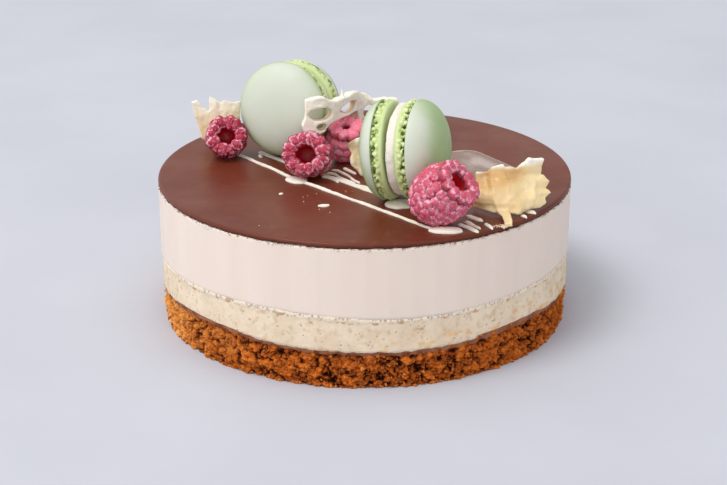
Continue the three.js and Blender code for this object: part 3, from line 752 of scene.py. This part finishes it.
def add_nut_cream():
    """A cream with a frothy upper band, bits of nut, a few pores and yellow blotches."""
    grid = layer_wall("nut_cream_layer")
    drop = below_top(grid)
    band = ease(NUT_LACE, 0.4, drop + 0.6 * clouds(grid, 2.2, 51))
    froth = pits(grains(grid, 1.15, 52)[0], 0.42) * band
    reach, _, number = grains(grid, 2.6, 53)
    pore = pits(reach, 0.13) * (number > 0.35)
    nut = nut_bits(grid)
    blotch = ease(0.1, 0.7, clouds(grid * (1, 1, 1.6), 3.4, 55)) * ease(8, 3, above_base(grid))
    blotch *= ease(70, 110, np.abs(from_left(grid)))
    relief = 0.1 * clouds(grid, 4, 56) + 0.06 * clouds(grid, 1.1, 57) + 0.1 * band
    relief += 0.15 * nut - 0.2 * ease(0.05, 0.4, nut) * ease(0.9, 0.5, nut)
    relief += 0.3 * ease(1.6, 0.2, drop) * (0.75 + 0.8 * clouds(grid, 1.2, 59))
    relief -= 0.4 * froth + 0.35 * pore
    moved = raised(grid, relief)
    moved[:, -1, 2] += 0.55 + 0.35 * clouds(grid[:, -1], 1.4, 50)
    moved[:, -2, 2] += 0.3 + 0.2 * clouds(grid[:, -1], 1.4, 50)
    moved[:, 0, 2] -= 0.6 - 0.45 * clouds(grid[:, 0], 2.4, 58)
    # Painted shade in the dip of the relief round each nut bit.
    crease_shade = ease(0.1, 0.4, nut) * ease(0.8, 0.5, nut)
    tones = {
        "lace": band,
        "nut": nut * 0.85,
        "blotch": blotch * 0.7,
        "deep": np.clip(froth * 0.6 + pore * 0.8 + 0.3 * crease_shade, 0, 1),
    }
    add_layer("nut_cream", moved, tones, "nut_cream_layer")


def add_mousse():
    grid = layer_wall("mousse_layer")
    relief = 0.004 * clouds(grid * (1, 1, 0.05), 5, 61) + 0.07 * clouds(grid, 16, 62)
    # Dents worn into the top edge; the deep tone paints shade into them under the glaze rim.
    worn = ease(1.1, 0.1, below_top(grid)) * ease(0.0, 0.7, clouds(grid, 1.5, 63))
    relief -= 0.3 * worn + 0.25 * ease(0.7, 0.0, above_base(grid))
    moved = raised(grid, relief)
    moved[:, 0, 2] -= 0.3
    moved[:, -1, 2] += 0.3
    add_layer("mousse", moved, {"deep": worn}, "mousse_layer")


# --- Glaze and what is piped on it ---

RIM_ROUNDING = 0.9
GLAZE_COLUMNS = 900
GLAZE_RINGS = 60
# How ragged the rows of the glaze's side are, from its second row up.
TORN_ROWS = (1, 1, 0.85, 0.5, 0.2)
# The points of each piped line on the glaze, and its width.
PIPED_LINES = [
    (
        [(-51, 18.4), (-39, 4), (-28.7, -9.2), (-16.8, -22.5), (0.5, -40.7), (12.7, -53.8), (22, -64),
         (27, -68.6)],
        1.5,
    ),
    (
        [(-42.6, 21), (-31.4, 8.9), (-22, -1), (-13.3, -9.5), (-3.7, -19.6), (5.7, -29.5), (11.3, -36)],
        2.0,
    ),
    ([(-8.2, 0.9), (-6.1, -1.9), (-3.3, -6.2)], 1.425),
    ([(-13.2, -1.4), (-10, -3), (-8, -6), (-6, -9.3), (-4.6, -13.4), (-1.6, -17)], 1.05),
    ([(-14.9, -5.1), (-11.8, -6.6), (-9.8, -10), (-7.3, -13.4), (-3.3, -18.5)], 1.05),
    ([(-16.5, -9), (-13.5, -11.3), (-10, -15.9)], 0.975),
    ([(-4.2, -18.6), (0.1, -21.4), (2.7, -25)], 1.275),
    ([(33, -61), (36.5, -64.8), (39.7, -69.2)], 1.82),
    ([(35.5, -58.4), (38, -62), (40.9, -65.8)], 1.69),
    ([(36.5, -51.8), (39.5, -55), (42.3, -58)], 2.6),
    ([(42.8, -60.2), (44.6, -64.4), (45, -66)], 1.56),
    ([(56, -52.2), (57.6, -53.6), (58.1, -54.8)], 1.56),
    ([(57.9, -48.5), (60.6, -49.4), (61.6, -50.6)], 2.34),
]
LINE_HEIGHT = 0.85
LINE_STEP = 0.45
# Each drop's place, half its length and width, its height and its turn.
PUDDLES = [
    ((-26, -13.4), (4.6, 3.6), 1.265, -0.6),
    ((12.8, -40.6), (5.4, 5.4), 1.38, -0.2),
    ((28.6, -67.4), (5.6, 3.2), 1.38, -0.1),
    ((-41.5, 15.6), (1.6, 0.8), 0.805, -1.2),
    ((-15, -41.6), (2.2, 1.1), 0.575, 0.2),
    ((-31.3, -28.6), (0.9, 0.6), 0.46, 0.0),
]
# The middle and the radius of the smear's narrow and of its wide end.
SMEAR_TIP = (40.3, 15.2, 7.7)
SMEAR_END = (48, -14, 17)
SMEAR_HEIGHT = 0.3
# Rings of the smear: the share of its outline and the share of its height.
SMEAR_RINGS = [(1.0, -0.2), (0.999, 0.5), (0.99, 0.95), (0.975, 1.15), (0.95, 0.95)]
SMEAR_RINGS += [(share, 0.85) for share in (0.9, 0.8, 0.65, 0.5, 0.35, 0.2, 0.05)]


def add_glaze():
    """The poured top, rounded at its rim, with a ragged lower edge."""
    side = [(CAKE_RADIUS - 3, GLAZE_LOW), (CAKE_RADIUS - 0.3, GLAZE_LOW)]
    side += [(CAKE_RADIUS, GLAZE_LOW + step) for step in (0.25, 0.5, 0.75, 1.0)]
    shoulder = [
        (
            CAKE_RADIUS - RIM_ROUNDING * (1 - math.sin(turn)),
            CAKE_TOP - RIM_ROUNDING * (1 - math.cos(turn)),
        )
        for turn in np.linspace(math.pi / 2, 0, 8)
    ]
    rings = (CAKE_RADIUS - RIM_ROUNDING) * np.linspace(1, 0.01, GLAZE_RINGS)[1:]
    top = [(radius, CAKE_TOP) for radius in rings]
    grid = turned_grid(side + shoulder + top, GLAZE_COLUMNS)
    torn = np.zeros(grid.shape[:2])
    torn[:, 1:6] = TORN_ROWS
    ragged = clouds(grid, 1.3, 71)
    moved = raised(grid, torn * (0.3 * ragged - 0.1))
    moved[..., 2] += torn * 0.32 * clouds(grid[:, 1:2], 1.8, 72)
    broad = 0.05 * clouds(grid, 30, 73) + 0.015 * clouds(grid, 6, 74)
    flat = ease(0, 6, CAKE_RADIUS - np.linalg.norm(grid[..., :2], axis=-1)) * (torn == 0)
    moved[..., 2] += broad * flat - 0.05 * flat
    torn *= ease(-0.7, 0.3, ragged) * 0.6 + 0.4
    closed_piece("glaze", moved, {"torn": torn}, "glaze", ["chocolate_glaze"])


def add_glaze_crumbs():
    radius = CAKE_RADIUS - 0.05

    def under_edge(random):
        angle = random.uniform(0, FULL_TURN)
        drop = min(random.exponential(0.3), 2.2)
        return np.array([radius * math.cos(angle), radius * math.sin(angle), GLAZE_LOW - drop])

    add_crumbs("glaze_edge_crumbs", under_edge)


def plain(grid, edge):
    """The even tones of a small piece of white chocolate."""
    return {"warm": np.zeros(grid.shape[:2]), "edge": np.full(grid.shape[:2], edge)}


def bead_grid(line, width, seed):
    """A grid round a half-round bead that lies along a line on the glaze."""
    curve = smooth_line([(x, y, 0) for x, y in line], LINE_STEP)
    count = len(curve)
    along = np.gradient(curve, axis=0)
    along /= np.linalg.norm(along, axis=1, keepdims=True)
    side = np.stack([along[:, 1], -along[:, 0], np.zeros(count)], -1)
    run = np.arange(count) * LINE_STEP
    ends = np.minimum(run, run[::-1])
    taper = np.sqrt(np.clip(ends / (width * 0.6), 0.04, 1))
    size = taper * (1 + 0.16 * clouds(curve, 5, seed) + 0.1 * clouds(curve, 1.7, seed + 1))
    curve = curve + side * (0.3 * clouds(curve, 6, seed + 2))[:, None]
    turns = np.linspace(0, math.pi, 11)
    out = np.cos(turns)[None, :] * width / 2 * size[:, None]
    rise = np.sin(turns)[None, :] ** 0.8 * LINE_HEIGHT * size[:, None] - 0.12
    grid = curve[:, None, :] + side[:, None, :] * out[..., None]
    grid[..., 2] += CAKE_TOP + rise
    return grid


def add_piped_lines():
    for index, (line, width) in enumerate(PIPED_LINES):
        grid = bead_grid(line, width, 80 + index * 5)
        under = grid[:, ::-1].copy()
        under[..., 2] = CAKE_TOP - 0.15
        ring = np.concatenate([grid, under[:, 1:-1]], 1).transpose(1, 0, 2)
        name = f"piped_line_{index + 1}"
        closed_piece(name, ring, plain(ring, 0), "drizzle")


def puddle_grid(size, height, seed):
    """A drop that has run out flat, with an uneven outline and a rolled edge."""
    turns = np.linspace(-0.5, math.pi / 2, 9)
    rolled = [(1 - 0.14 * (1 - math.cos(t)), 0.6 * math.sin(t)) for t in turns]
    crown = [(radius, 1 - 0.4 * radius**2 / 0.74) for radius in np.linspace(0.82, 0.02, 16)]
    grid = turned_grid([(0.6, -0.5)] + rolled + crown, 64)
    outline = 1 + 0.2 * clouds(grid[:, :1] * (1, 1, 0), 0.9, seed) * np.ones(grid.shape[:2])
    grid = grid * outline[..., None]
    grid[..., 2] /= outline
    return grid * (*size, height)


def add_puddles():
    for index, (place, size, height, turn) in enumerate(PUDDLES):
        grid = puddle_grid(size, height, 120 + index)
        points, faces = capped(grid)
        spun = points @ turn_to((0, 0, 1), turn).T
        spun[:, 2] += 0.16 * clouds(points, 2.2, 130 + index)
        spun[:, 2] = np.maximum(spun[:, 2], -0.2)
        tones = padded_tones(plain(grid, 0.5))
        name = f"chocolate_drop_{index + 1}"
        make_piece(name, spun + (*place, CAKE_TOP), faces, tones, "drizzle")


def add_smear():
    """The thin clear patch: an egg-shaped plate with a slightly raised, paler rim."""
    tip = np.array(SMEAR_TIP[:2])
    end = np.array(SMEAR_END[:2])
    run = end - tip
    heading = math.atan2(run[1], run[0])
    spread = math.acos((SMEAR_TIP[2] - SMEAR_END[2]) / np.linalg.norm(run))
    arcs = [
        (tip, SMEAR_TIP[2], heading + spread, heading - spread + FULL_TURN),
        (end, SMEAR_END[2], heading - spread, heading + spread),
    ]
    outline = []
    for middle, radius, start, stop in arcs:
        for turn in np.linspace(start, stop, 90):
            outline.append(middle + radius * np.array([math.cos(turn), math.sin(turn)]))
    outline = np.array(outline)
    centre = (tip + end) / 2
    shares, heights = np.array(SMEAR_RINGS).T
    flat = centre + (outline - centre)[:, None, :] * shares[None, :, None]
    rise = np.broadcast_to(heights * SMEAR_HEIGHT + CAKE_TOP, flat.shape[:2])
    grid = np.concatenate([flat, rise[..., None]], -1)
    grid[..., 2] += 0.03 * clouds(grid, 5, 140) * (shares < 0.98)
    rim = np.broadcast_to(ease(0.955, 0.985, shares), flat.shape[:2])
    blotch = ease(0.0, 0.7, clouds(grid, 9, 141)) * (shares < 0.9)
    closed_piece("clear_smear", grid, {"rim": rim, "blotch": blotch}, "smear")


def add_loose_crumbs():
    def on_glaze(middle, spread):
        return lambda random: np.array([*random.normal(middle, spread), CAKE_TOP + 0.1])

    add_crumbs("chocolate_specks", on_glaze((-12, -36), (15, 10)))
    add_crumbs("biscuit_crumbs", on_glaze((-6, -26), (0.9, 0.9)))
    add_crumbs("shard_crumbs", on_glaze((47.5, -63), (1.6, 1.2)))


# --- Macarons ---

MACARON_RADIUS = 18.5
FOOT_HEIGHT = 4.1
FILLING_RADIUS = 16.8
FILLING_HEIGHT = 3.4
# The side, front and up, where the domes get their whitish painted sheen.
BLOOM_SHEEN_SIDE = (-0.25, -0.85, 0.46)
SHELL_COLUMNS = 360
FILLING_COLUMNS = 260
FRILL = 1.9
# The height of each shell's dome, and its seed.
SHELLS = {
    "back_macaron_shell_a": (8.2, 201),
    "back_macaron_shell_b": (8.8, 202),
    "front_macaron_shell_a": (7.7, 203),
    "front_macaron_shell_b": (10.8, 204),
}


def add_shell(node, dome, seed):
    """A macaron shell: flat inside with a smooth rim, a torn foot and a smooth dome."""
    inner = [(radius, 0) for radius in np.linspace(0.3, MACARON_RADIUS - 1.7, 14)]
    shares = np.linspace(0.02, 0.97, 28)
    foot = [
        (MACARON_RADIUS - 1.3 + 1.1 * math.sin(math.pi * (0.08 + 0.8 * share)), FOOT_HEIGHT * share)
        for share in shares
    ]
    lip = [
        (MACARON_RADIUS - 0.75, FOOT_HEIGHT + 0.02),
        (MACARON_RADIUS - 0.4, FOOT_HEIGHT - 0.08),
        (MACARON_RADIUS - 0.08, FOOT_HEIGHT + 0.12),
    ]
    curve = [
        (MACARON_RADIUS * math.cos(turn) ** 0.85, FOOT_HEIGHT + dome * math.sin(turn))
        for turn in np.linspace(0.05, math.pi / 2 - 0.02, 34)
    ]
    grid = turned_grid(inner + foot + lip + curve, SHELL_COLUMNS)
    edges = np.cumsum([len(inner), len(foot), len(lip)])
    row = np.arange(grid.shape[1])
    torn = ease(edges[0] + 4, edges[0] + 8, row) * ease(edges[1] + 0.8, edges[1] - 1.5, row)
    spots = grid + seed
    uneven = bent(spots, 0.3, 1.3, seed + 4)
    frill, cleft, number = grains(uneven * (1, 1, 0.7), FRILL, seed)
    fine = grains(uneven, 0.8, seed + 1)[0]
    reach, _, hole_number = grains(uneven * (1, 1, 0.7), FRILL, seed + 2)
    hole = pits(reach, 0.42) * (hole_number > 0.3)
    lifted = 0.15 + 1.0 * ease(edges[1] - 17, edges[1] - 4, row)
    relief = 0.95 * (0.45 - frill) + 0.3 * (0.4 - fine) - 1.3 * hole * lifted
    relief -= 0.6 * ease(0.2, 0.0, cleft) * lifted
    relief = torn * relief + (1 - torn) * 0.05 * clouds(spots, 8, seed + 3)
    domed = (row >= edges[1]) * np.ones(grid.shape[:2])
    middle, normal = flat_face(node)
    turn = turn_to(-normal, seed)
    # Painted sheen: whiter where the dome's normal turns towards that side.
    bloom_and_sheen = outward(grid) @ turn.T @ BLOOM_SHEEN_SIDE
    tones = {
        "foot": 1 - domed,
        # Painted shade where the foot's relief sinks.
        "deep": torn * ease(-0.15, -0.85, relief),
        # Painted highlight on the raised frills, varied for each frill.
        "lump": torn * ease(-0.15, 0.3, relief) * (0.4 + 0.6 * number),
        "rim": (1 - domed) * ease(edges[0] + 8, edges[0] + 3, row),
        "bloom_and_sheen": ease(0.05, 0.95, bloom_and_sheen) * domed,
    }
    closed_piece(
        node + "_look", raised(grid, relief), tones, "shell", [node],
        lambda points: points @ turn.T + middle,
    )


def add_filling(node, seed):
    """The filling between two shells: flat faces and an uneven side that bulges."""
    half = FILLING_HEIGHT / 2
    inner = np.linspace(0.3, FILLING_RADIUS - 1.2, 6)
    side = [
        (FILLING_RADIUS - 1.1 + 1.15 * math.cos(turn) ** 0.7, half * math.sin(turn))
        for turn in np.linspace(-1.45, 1.45, 18)
    ]
    profile = [(radius, -half) for radius in inner] + side + [(radius, half) for radius in inner[::-1]]
    grid = turned_grid(profile, FILLING_COLUMNS)
    spots = grid + seed
    edge = ease(FILLING_RADIUS - 1.6, FILLING_RADIUS - 0.5, np.linalg.norm(grid[..., :2], axis=-1))
    reach, _, number = grains(spots, 2.4, seed)
    dent = pits(reach, 0.16) * (number > 0.4)
    relief = edge * (0.3 * clouds(spots, 5, seed + 1) + 0.08 * clouds(spots, 1.2, seed + 2) - 0.2 * dent)
    turn = turn_to(flat_face(node)[1], seed)
    closed_piece(
        # The deep tone paints shade into the dents.
        node + "_look", raised(grid, relief), {"deep": dent * 0.6}, "filling", [node],
        lambda points: fit_to(points @ turn.T, node),
    )


# --- Raspberries ---

# Each berry's axis, radius, length, drupelets round it, pitch, radius and depth of its hollow,
# width, rosiness and seed.
BERRIES = {
    "raspberry_left": ((0.04, -0.92, 0.38), 8.5, 15, 10, 3.5, (3.5, 8), 1, 0, 301),
    "raspberry_middle": ((-0.08, -0.9, 0.42), 9, 16, 11, 3.5, (3.8, 9), 1.1, 0.05, 311),
    "raspberry_rear": ((0.05, -0.34, 0.94), 7.8, 17.5, 10, 3.9, (2.3, 7), 1, 1, 321),
    "raspberry_right": ((0.66, -0.4, 0.63), 11, 23.5, 12, 3.5, (4.2, 12), 1, 0.35, 331),
}
CORE_COLUMNS = 72
# A drupelet's swell as a share of half its room round the berry, its spacing and its size as
# shares of the pitch, how much longer the ones on the rim are, and the spacing of the rows.
DRUPELET_SWELL = 0.62
DRUPELET_SPACING = 0.86
DRUPELET_SIZE = 0.63
RIM_STRETCH = 1.25
ROW_SPACING = 0.84
PROFILE_STEPS = 200


def berry_outside(share, radius, length, swell):
    turn = math.pi * (0.05 + 0.75 * share)
    out = (radius - swell) * math.sin(turn) ** 0.75
    return np.array([out, -math.cos(turn) * (length / 2 - swell * 0.6)])


def berry_rows(radius, length, swell, pitch):
    """Middles and outward directions, in the profile's plane, of the rows of drupelets."""
    shares = np.linspace(0, 1, PROFILE_STEPS)
    curve = np.array([berry_outside(share, radius, length, swell) for share in shares])
    steps = np.append(0, np.cumsum(np.linalg.norm(np.diff(curve, axis=0), axis=1)))
    count = round(steps[-1] / (pitch * ROW_SPACING))
    rows = []
    for run in (np.arange(count) + 0.35) / (count - 0.3) * steps[-1]:
        at = min(int(np.searchsorted(steps, run)), PROFILE_STEPS - 2)
        along = curve[at + 1] - curve[at]
        along /= np.linalg.norm(along)
        rows.append((curve[at], np.array([along[1], -along[0]])))
    return rows


def drupelet_rows(radius, length, swell, pitch, hollow_radius):
    """Middle, outward direction and stretch of each row of drupelets, in the profile's plane.
    The last row is long and folds over the rim into the hollow."""
    body = [
        (middle, normal, 1.0)
        for middle, normal in berry_rows(radius, length, swell, pitch)
        if middle[1] < length * 0.24
    ]
    middle = np.array([hollow_radius + pitch * 0.62, length * 0.36])
    rim = (middle, np.array([-0.05, 1.0]), RIM_STRETCH)
    return body + [rim]


def drupelet(middle, normal, stretch, turn, size, random, ball):
    """One drupelet's points: round, or drawn out along the profile by its stretch."""
    spin = np.array([math.cos(turn), math.sin(turn), 0])
    aside = np.array([-math.sin(turn), math.cos(turn), 0])
    out = spin * normal[0] + np.array([0, 0, normal[1]])
    along = np.cross(out, aside)
    wide = size * random.uniform(0.94, 1.06)
    shape = ball[:, :1] * along * size * stretch + ball[:, 1:2] * aside * wide
    shape = shape + ball[:, 2:] * out * size
    return shape + spin * middle[0] + np.array([0, 0, middle[1]]), out


def berry_core(rows, hollow, length, rim_radius):
    """A cup under the drupelets: its outside follows their middles, its inside is the hollow."""
    outside = [tuple(middle + 0.1 * normal) for middle, normal, _ in rows[:-1]]
    floor = length / 2 - hollow[1]
    inside = [
        (hollow[0] * 1.25, length * 0.37), (hollow[0] * 1.05, length * 0.3),
        (hollow[0] * 0.95, length * 0.18), (hollow[0] * 0.75, floor + 0.8),
        (hollow[0] * 0.25, floor),
    ]
    wall = outside + [(rim_radius, length * 0.36)] + inside
    line = smooth_line([(max(out, 0.2), 0, height) for out, height in wall], 0.8)
    return turned_grid(line[:, [0, 2]], CORE_COLUMNS)


def add_berry(node, axis, radius, length, around, pitch, hollow, widen, rosy, seed):
    """Separate drupelets in staggered rows on a hollow core, the last row round the rim."""
    random = np.random.default_rng(seed)
    swell = math.pi * radius / around * DRUPELET_SWELL
    rows = drupelet_rows(radius, length, swell, pitch, hollow[0])
    ball, triangles = rounded_ball(3)
    parts = []
    for middle, normal, stretch in rows:
        count = max(1, round(FULL_TURN * max(middle[0], 0.1) / (pitch * DRUPELET_SPACING)))
        start = random.uniform(0, FULL_TURN)
        for k in range(count):
            turn = start + (k + random.uniform(-0.2, 0.2)) / count * FULL_TURN
            size = pitch * DRUPELET_SIZE * random.uniform(0.86, 1.14)
            points, out = drupelet(middle, normal, stretch, turn, size, random, ball)
            points = points + out * (swell - size) * (stretch == 1) + random.normal(0, 0.16, 3)
            points = points + 0.2 * size * clouds(points, 1.8, seed)[:, None] * ball
            frost = ease(0.93, 0.7, ball[:, 2]) * ease(0.25, 0.55, ball[:, 2])
            frost = 0.85 * frost + random.uniform(-0.2, 0.25)
            # A drupelet's base gets painted shade, where it meets its neighbours.
            parts.append((points, triangles.tolist(), frost, 0.5 * ease(0.5, 0.1, ball[:, 2]), 0))
    grid = berry_core(rows, hollow, length, rows[-1][0][0])
    floor = length / 2 - hollow[1]
    cup = np.zeros(grid.shape[:2])
    cup[:, grid[0, :, 0].argmax() :] = 1
    cup *= ease(floor - 1.5, floor + 0.5, grid[..., 2])
    grid = raised(grid, cup * 0.4 * clouds(grid, 1.8, seed + 1))
    shade = cup * ease(length * 0.3, floor, grid[..., 2])
    # Painted shade down in the hollow and on the core between the drupelets.
    tones = padded_tones({"cup": cup, "deep": 0.6 * shade + 0.55 * (1 - cup)})
    parts.append((*capped(grid), 0, tones["deep"], tones["cup"]))
    faces = []
    first = 0
    for part in parts:
        faces += [[corner + first for corner in face] for face in part[1]]
        first += len(part[0])
    tones = {
        key: np.concatenate([np.zeros(len(part[0])) + part[place] for part in parts])
        for place, key in enumerate(("frost", "deep", "cup"), 2)
    }
    # Rosiness: partly the berry's own colour, partly painted light, strongest on the shaded rear berry.
    tones["rosy"] = np.full(first, rosy)
    points = np.vstack([part[0] for part in parts])
    placed = fit_to((points * (widen, 1, 1)) @ turn_to(axis).T, node)
    make_piece(node + "_look", placed, faces, tones, "berry", [node])


# --- White chocolate pieces ---

# How far up a piece is stretched to bring its foot down to the glaze.
SEAT_HEIGHT = 4.0
WELD = 0.02
LATTICE_PLAN = [
    (-25.5, -1.7), (-16, 0.5), (-9.5, 7), (-5.5, 13.5), (-2.5, 20.5), (5, 22.5), (14, 23.5),
]
# Each cell's place along the lattice and up it, and half its width and height.
LATTICE_CELLS = [
    ((8.4, 22.6), (4.1, 2.2)),
    ((23.6, 22.2), (5.4, 1.8)),
    ((38.9, 16.9), (2.3, 2.7)),
    ((8.7, 17.5), (1.6, 1.1)),
    ((38.9, 9.2), (2.4, 2.6)),
    ((45, 17.2), (1.9, 2)),
]


def remeshed(node, voxel, soften):
    """The points, outward normals and faces of a node's solid, meshed again finely."""
    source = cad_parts[node].data.copy()
    piece = bpy.data.objects.new("remeshing", source)
    bpy.context.scene.collection.objects.link(piece)
    weld = piece.modifiers.new("weld", "WELD")
    weld.merge_threshold = WELD * MM
    remesh = piece.modifiers.new("remesh", "REMESH")
    remesh.mode = "VOXEL"
    remesh.voxel_size = voxel * MM
    relax = piece.modifiers.new("relax", "SMOOTH")
    relax.factor = 0.5
    relax.iterations = soften
    made = piece.evaluated_get(bpy.context.evaluated_depsgraph_get()).data
    points = np.array([v.co for v in made.vertices], float) / MM
    normals = np.array([v.normal for v in made.vertices], float)
    faces = [list(p.vertices) for p in made.polygons]
    bpy.data.objects.remove(piece)
    bpy.data.meshes.remove(source)
    return points, normals, faces


def add_chocolate(node, tones_at, voxel, folds, fold_size, soften, look, seed):
    """A broken piece of white chocolate, with waxy folds, soft edges and a few chips, whose foot
    is brought down to the glaze."""
    points, normals, faces = remeshed(node, voxel, soften)
    folded = clouds(points * (1, 0.5, 1), fold_size, seed)
    ridge = 1 - 2 * np.abs(clouds(points * (1, 0.5, 1), fold_size * 1.3, seed + 3))
    relief = folds * (0.6 * folded + 0.6 * ridge - 0.3) + 0.05 * clouds(points, 1.6, seed + 1)
    chips = pits(grains(points, 2.8, seed + 2)[0], 0.2)
    relief -= 0.15 * chips
    low, high = (np.array(corner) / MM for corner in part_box(node))
    warm, edge, swell = tones_at(points, (points - low) / (high - low))
    relief += swell
    moved = points + normals * relief[:, None]
    gap = moved[:, 2].min() - CAKE_TOP
    moved[:, 2] -= gap * ease(low[2] + SEAT_HEIGHT, low[2], moved[:, 2])
    moved[:, 2] = np.maximum(moved[:, 2], CAKE_TOP + LEAST_HEIGHT)
    tones = {"warm": np.clip(warm, 0, 1), "edge": np.clip(edge, 0, 1)}
    make_piece(node + "_look", moved, faces, tones, look, [node])


def shard_right_tones(points, share):
    """A warm band of painted shade crosses the left half above its middle, under the fold; the upper
    edge is almost white, a painted highlight.
    """
    across, _, up = share.T
    band = ease(0.26, 0.0, np.abs(up - 0.6 - 0.22 * across)) * ease(0.75, 0.3, across)
    beige = 0.45 * ease(0.8, 0.35, across) * ease(0.1, 0.4, up)
    top = 0.74 + 0.1 * across - 0.1 * ease(0.2, 0.05, across)
    edge = ease(top, top + 0.14, up + 0.05 * clouds(points, 4, 441))
    yellow = 0.25 * ease(0.1, 0.6, clouds(points, 6, 442))
    return band + beige + yellow, edge, 0


def shard_left_tones(points, share):
    warm = 0.15 * ease(0.0, 0.6, clouds(points, 5, 443))
    # edge: a near-white tone, with a painted highlight growing towards the top
    return warm, 0.3 + 0.6 * ease(0.45, 0.9, share[:, 2]), 0


def knob_tones(points, share):
    # warm: painted shade in the creases between the lobes; edge: a painted highlight on the lobes
    folds = np.abs(clouds(points, 7, 444))
    return 0.45 * ease(0.2, 0.0, folds), 0.2 + 0.7 * ease(0.15, 0.45, folds), 0


def lattice_tones(points, share):
    """The walls of the lattice's cells get painted shade, warmer than its face, and are worn back a
    little.
    """
    curve = smooth_line([(x, y, 0) for x, y in LATTICE_PLAN], 0.3)
    steps = np.append(0, np.cumsum(np.linalg.norm(np.diff(curve, axis=0), axis=1)))
    reach = np.linalg.norm(points[:, None, :2] - curve[None, :, :2], axis=-1)
    along = steps[reach.argmin(1)]
    warm = np.zeros(len(points))
    for (at, height), (wide, tall) in LATTICE_CELLS:
        far = np.hypot((along - at) / wide, (points[:, 2] - CAKE_TOP - height) / tall)
        warm = np.maximum(warm, ease(1.3, 1.02, far))
    return 0.55 * warm, 0.6 * (1 - warm), 0.2 - 0.6 * warm


# For each piece: its tones, voxel, depth and size of folds, rounds of softening, look and seed.
CHOCOLATE = {
    "white_chocolate_shard_right": (shard_right_tones, 0.32, 0.75, 5.5, 3, "sheet", 401),
    "white_chocolate_shard_left": (shard_left_tones, 0.3, 0.4, 4.5, 3, "sheet", 411),
    "white_chocolate_lattice": (lattice_tones, 0.3, 0.3, 2.8, 6, "lattice", 421),
    "white_chocolate_knob": (knob_tones, 0.3, 0.8, 4.5, 4, "sheet", 431),
}


# --- Stage ---

FLOOR_COLORS = ((196, 199, 210), (201, 204, 215))
FLOOR_ROUGHNESS = 0.8
FLOOR_SIZE = 8
KEY_PLACE = (-1.0, -0.7, 2.4)
KEY_SIZE = 1.1
KEY_POWER = 26
KEY_COLOR = (1, 0.98, 0.95)
SKY_COLOR = (1, 0.99, 0.98, 1)
SKY_LEVEL = 0.86
SKY_FALL = 0.36
SKY_DARKER_TOWARDS = (0.8, 0.6, 0)
CAMERA_PLACE = (-0.48, -605.15, 262.44)
CAMERA_AIM = (-0.48, 0, 25.17)
CAMERA_ROLL = -0.11
CAMERA_LENS = 81.11


def add_floor():
    look = Look("floor", 0.2)
    pale = look.over(FLOOR_COLORS[0], (look.patches(60, 0.3, 0.7), FLOOR_COLORS[1]))
    material = look.finish(pale, (2, 5, 0.02), FLOOR_ROUGHNESS)
    bpy.ops.mesh.primitive_grid_add(x_subdivisions=20, y_subdivisions=20, size=FLOOR_SIZE)
    floor = bpy.context.object
    floor.name = "floor"
    floor.data.materials.append(material)


def add_key_light():
    light = bpy.data.lights.new("key", "AREA")
    light.shape = "DISK"
    light.size = KEY_SIZE
    light.energy = KEY_POWER
    light.color = KEY_COLOR
    holder = bpy.data.objects.new("key", light)
    holder.location = KEY_PLACE
    holder.rotation_euler = (-Vector(KEY_PLACE)).to_track_quat("-Z", "Y").to_euler()
    bpy.context.scene.collection.objects.link(holder)


def add_stage():
    """An even studio sky, darker behind on the right, and one large soft light above."""
    add_floor()
    world = bpy.data.worlds.new("studio")
    world.use_nodes = True
    nodes = world.node_tree.nodes
    links = world.node_tree.links
    heading = nodes.new("ShaderNodeTexCoord").outputs["Generated"]
    share = nodes.new("ShaderNodeVectorMath")
    share.operation = "DOT_PRODUCT"
    share.inputs[1].default_value = SKY_DARKER_TOWARDS
    level = nodes.new("ShaderNodeMapRange")
    level.inputs["From Min"].default_value = -1
    level.inputs["To Min"].default_value = SKY_LEVEL + SKY_FALL
    level.inputs["To Max"].default_value = SKY_LEVEL - SKY_FALL
    links.new(heading, share.inputs[0])
    links.new(share.outputs["Value"], level.inputs["Value"])
    links.new(level.outputs[0], nodes["Background"].inputs["Strength"])
    nodes["Background"].inputs["Color"].default_value = SKY_COLOR
    bpy.context.scene.world = world
    add_key_light()


def add_camera():
    camera = bpy.data.cameras.new("camera")
    camera.lens = CAMERA_LENS
    camera.sensor_width = 36
    holder = bpy.data.objects.new("camera", camera)
    place = Vector(CAMERA_PLACE) * MM
    aim = Vector(CAMERA_AIM) * MM
    holder.location = place
    level = (aim - place).to_track_quat("-Z", "Y")
    holder.rotation_mode = "QUATERNION"
    holder.rotation_quaternion = level @ Quaternion((0, 0, 1), math.radians(CAMERA_ROLL))
    bpy.context.scene.collection.objects.link(holder)
    bpy.context.scene.camera = holder


add_camera()
add_stage()
sponge_wall = add_sponge()
add_sponge_crumbs(sponge_wall)
add_ganache()
add_nut_cream()
add_mousse()
add_glaze()
add_glaze_crumbs()
add_piped_lines()
add_puddles()
add_smear()
add_loose_crumbs()
for shell, (dome, seed) in SHELLS.items():
    add_shell(shell, dome, seed)
add_filling("back_macaron_filling", 221)
add_filling("front_macaron_filling", 222)
for berry, shape in BERRIES.items():
    add_berry(berry, *shape)
for chocolate, settings in CHOCOLATE.items():
    add_chocolate(chocolate, *settings)

bpy.context.scene.view_settings.view_transform = "Standard"
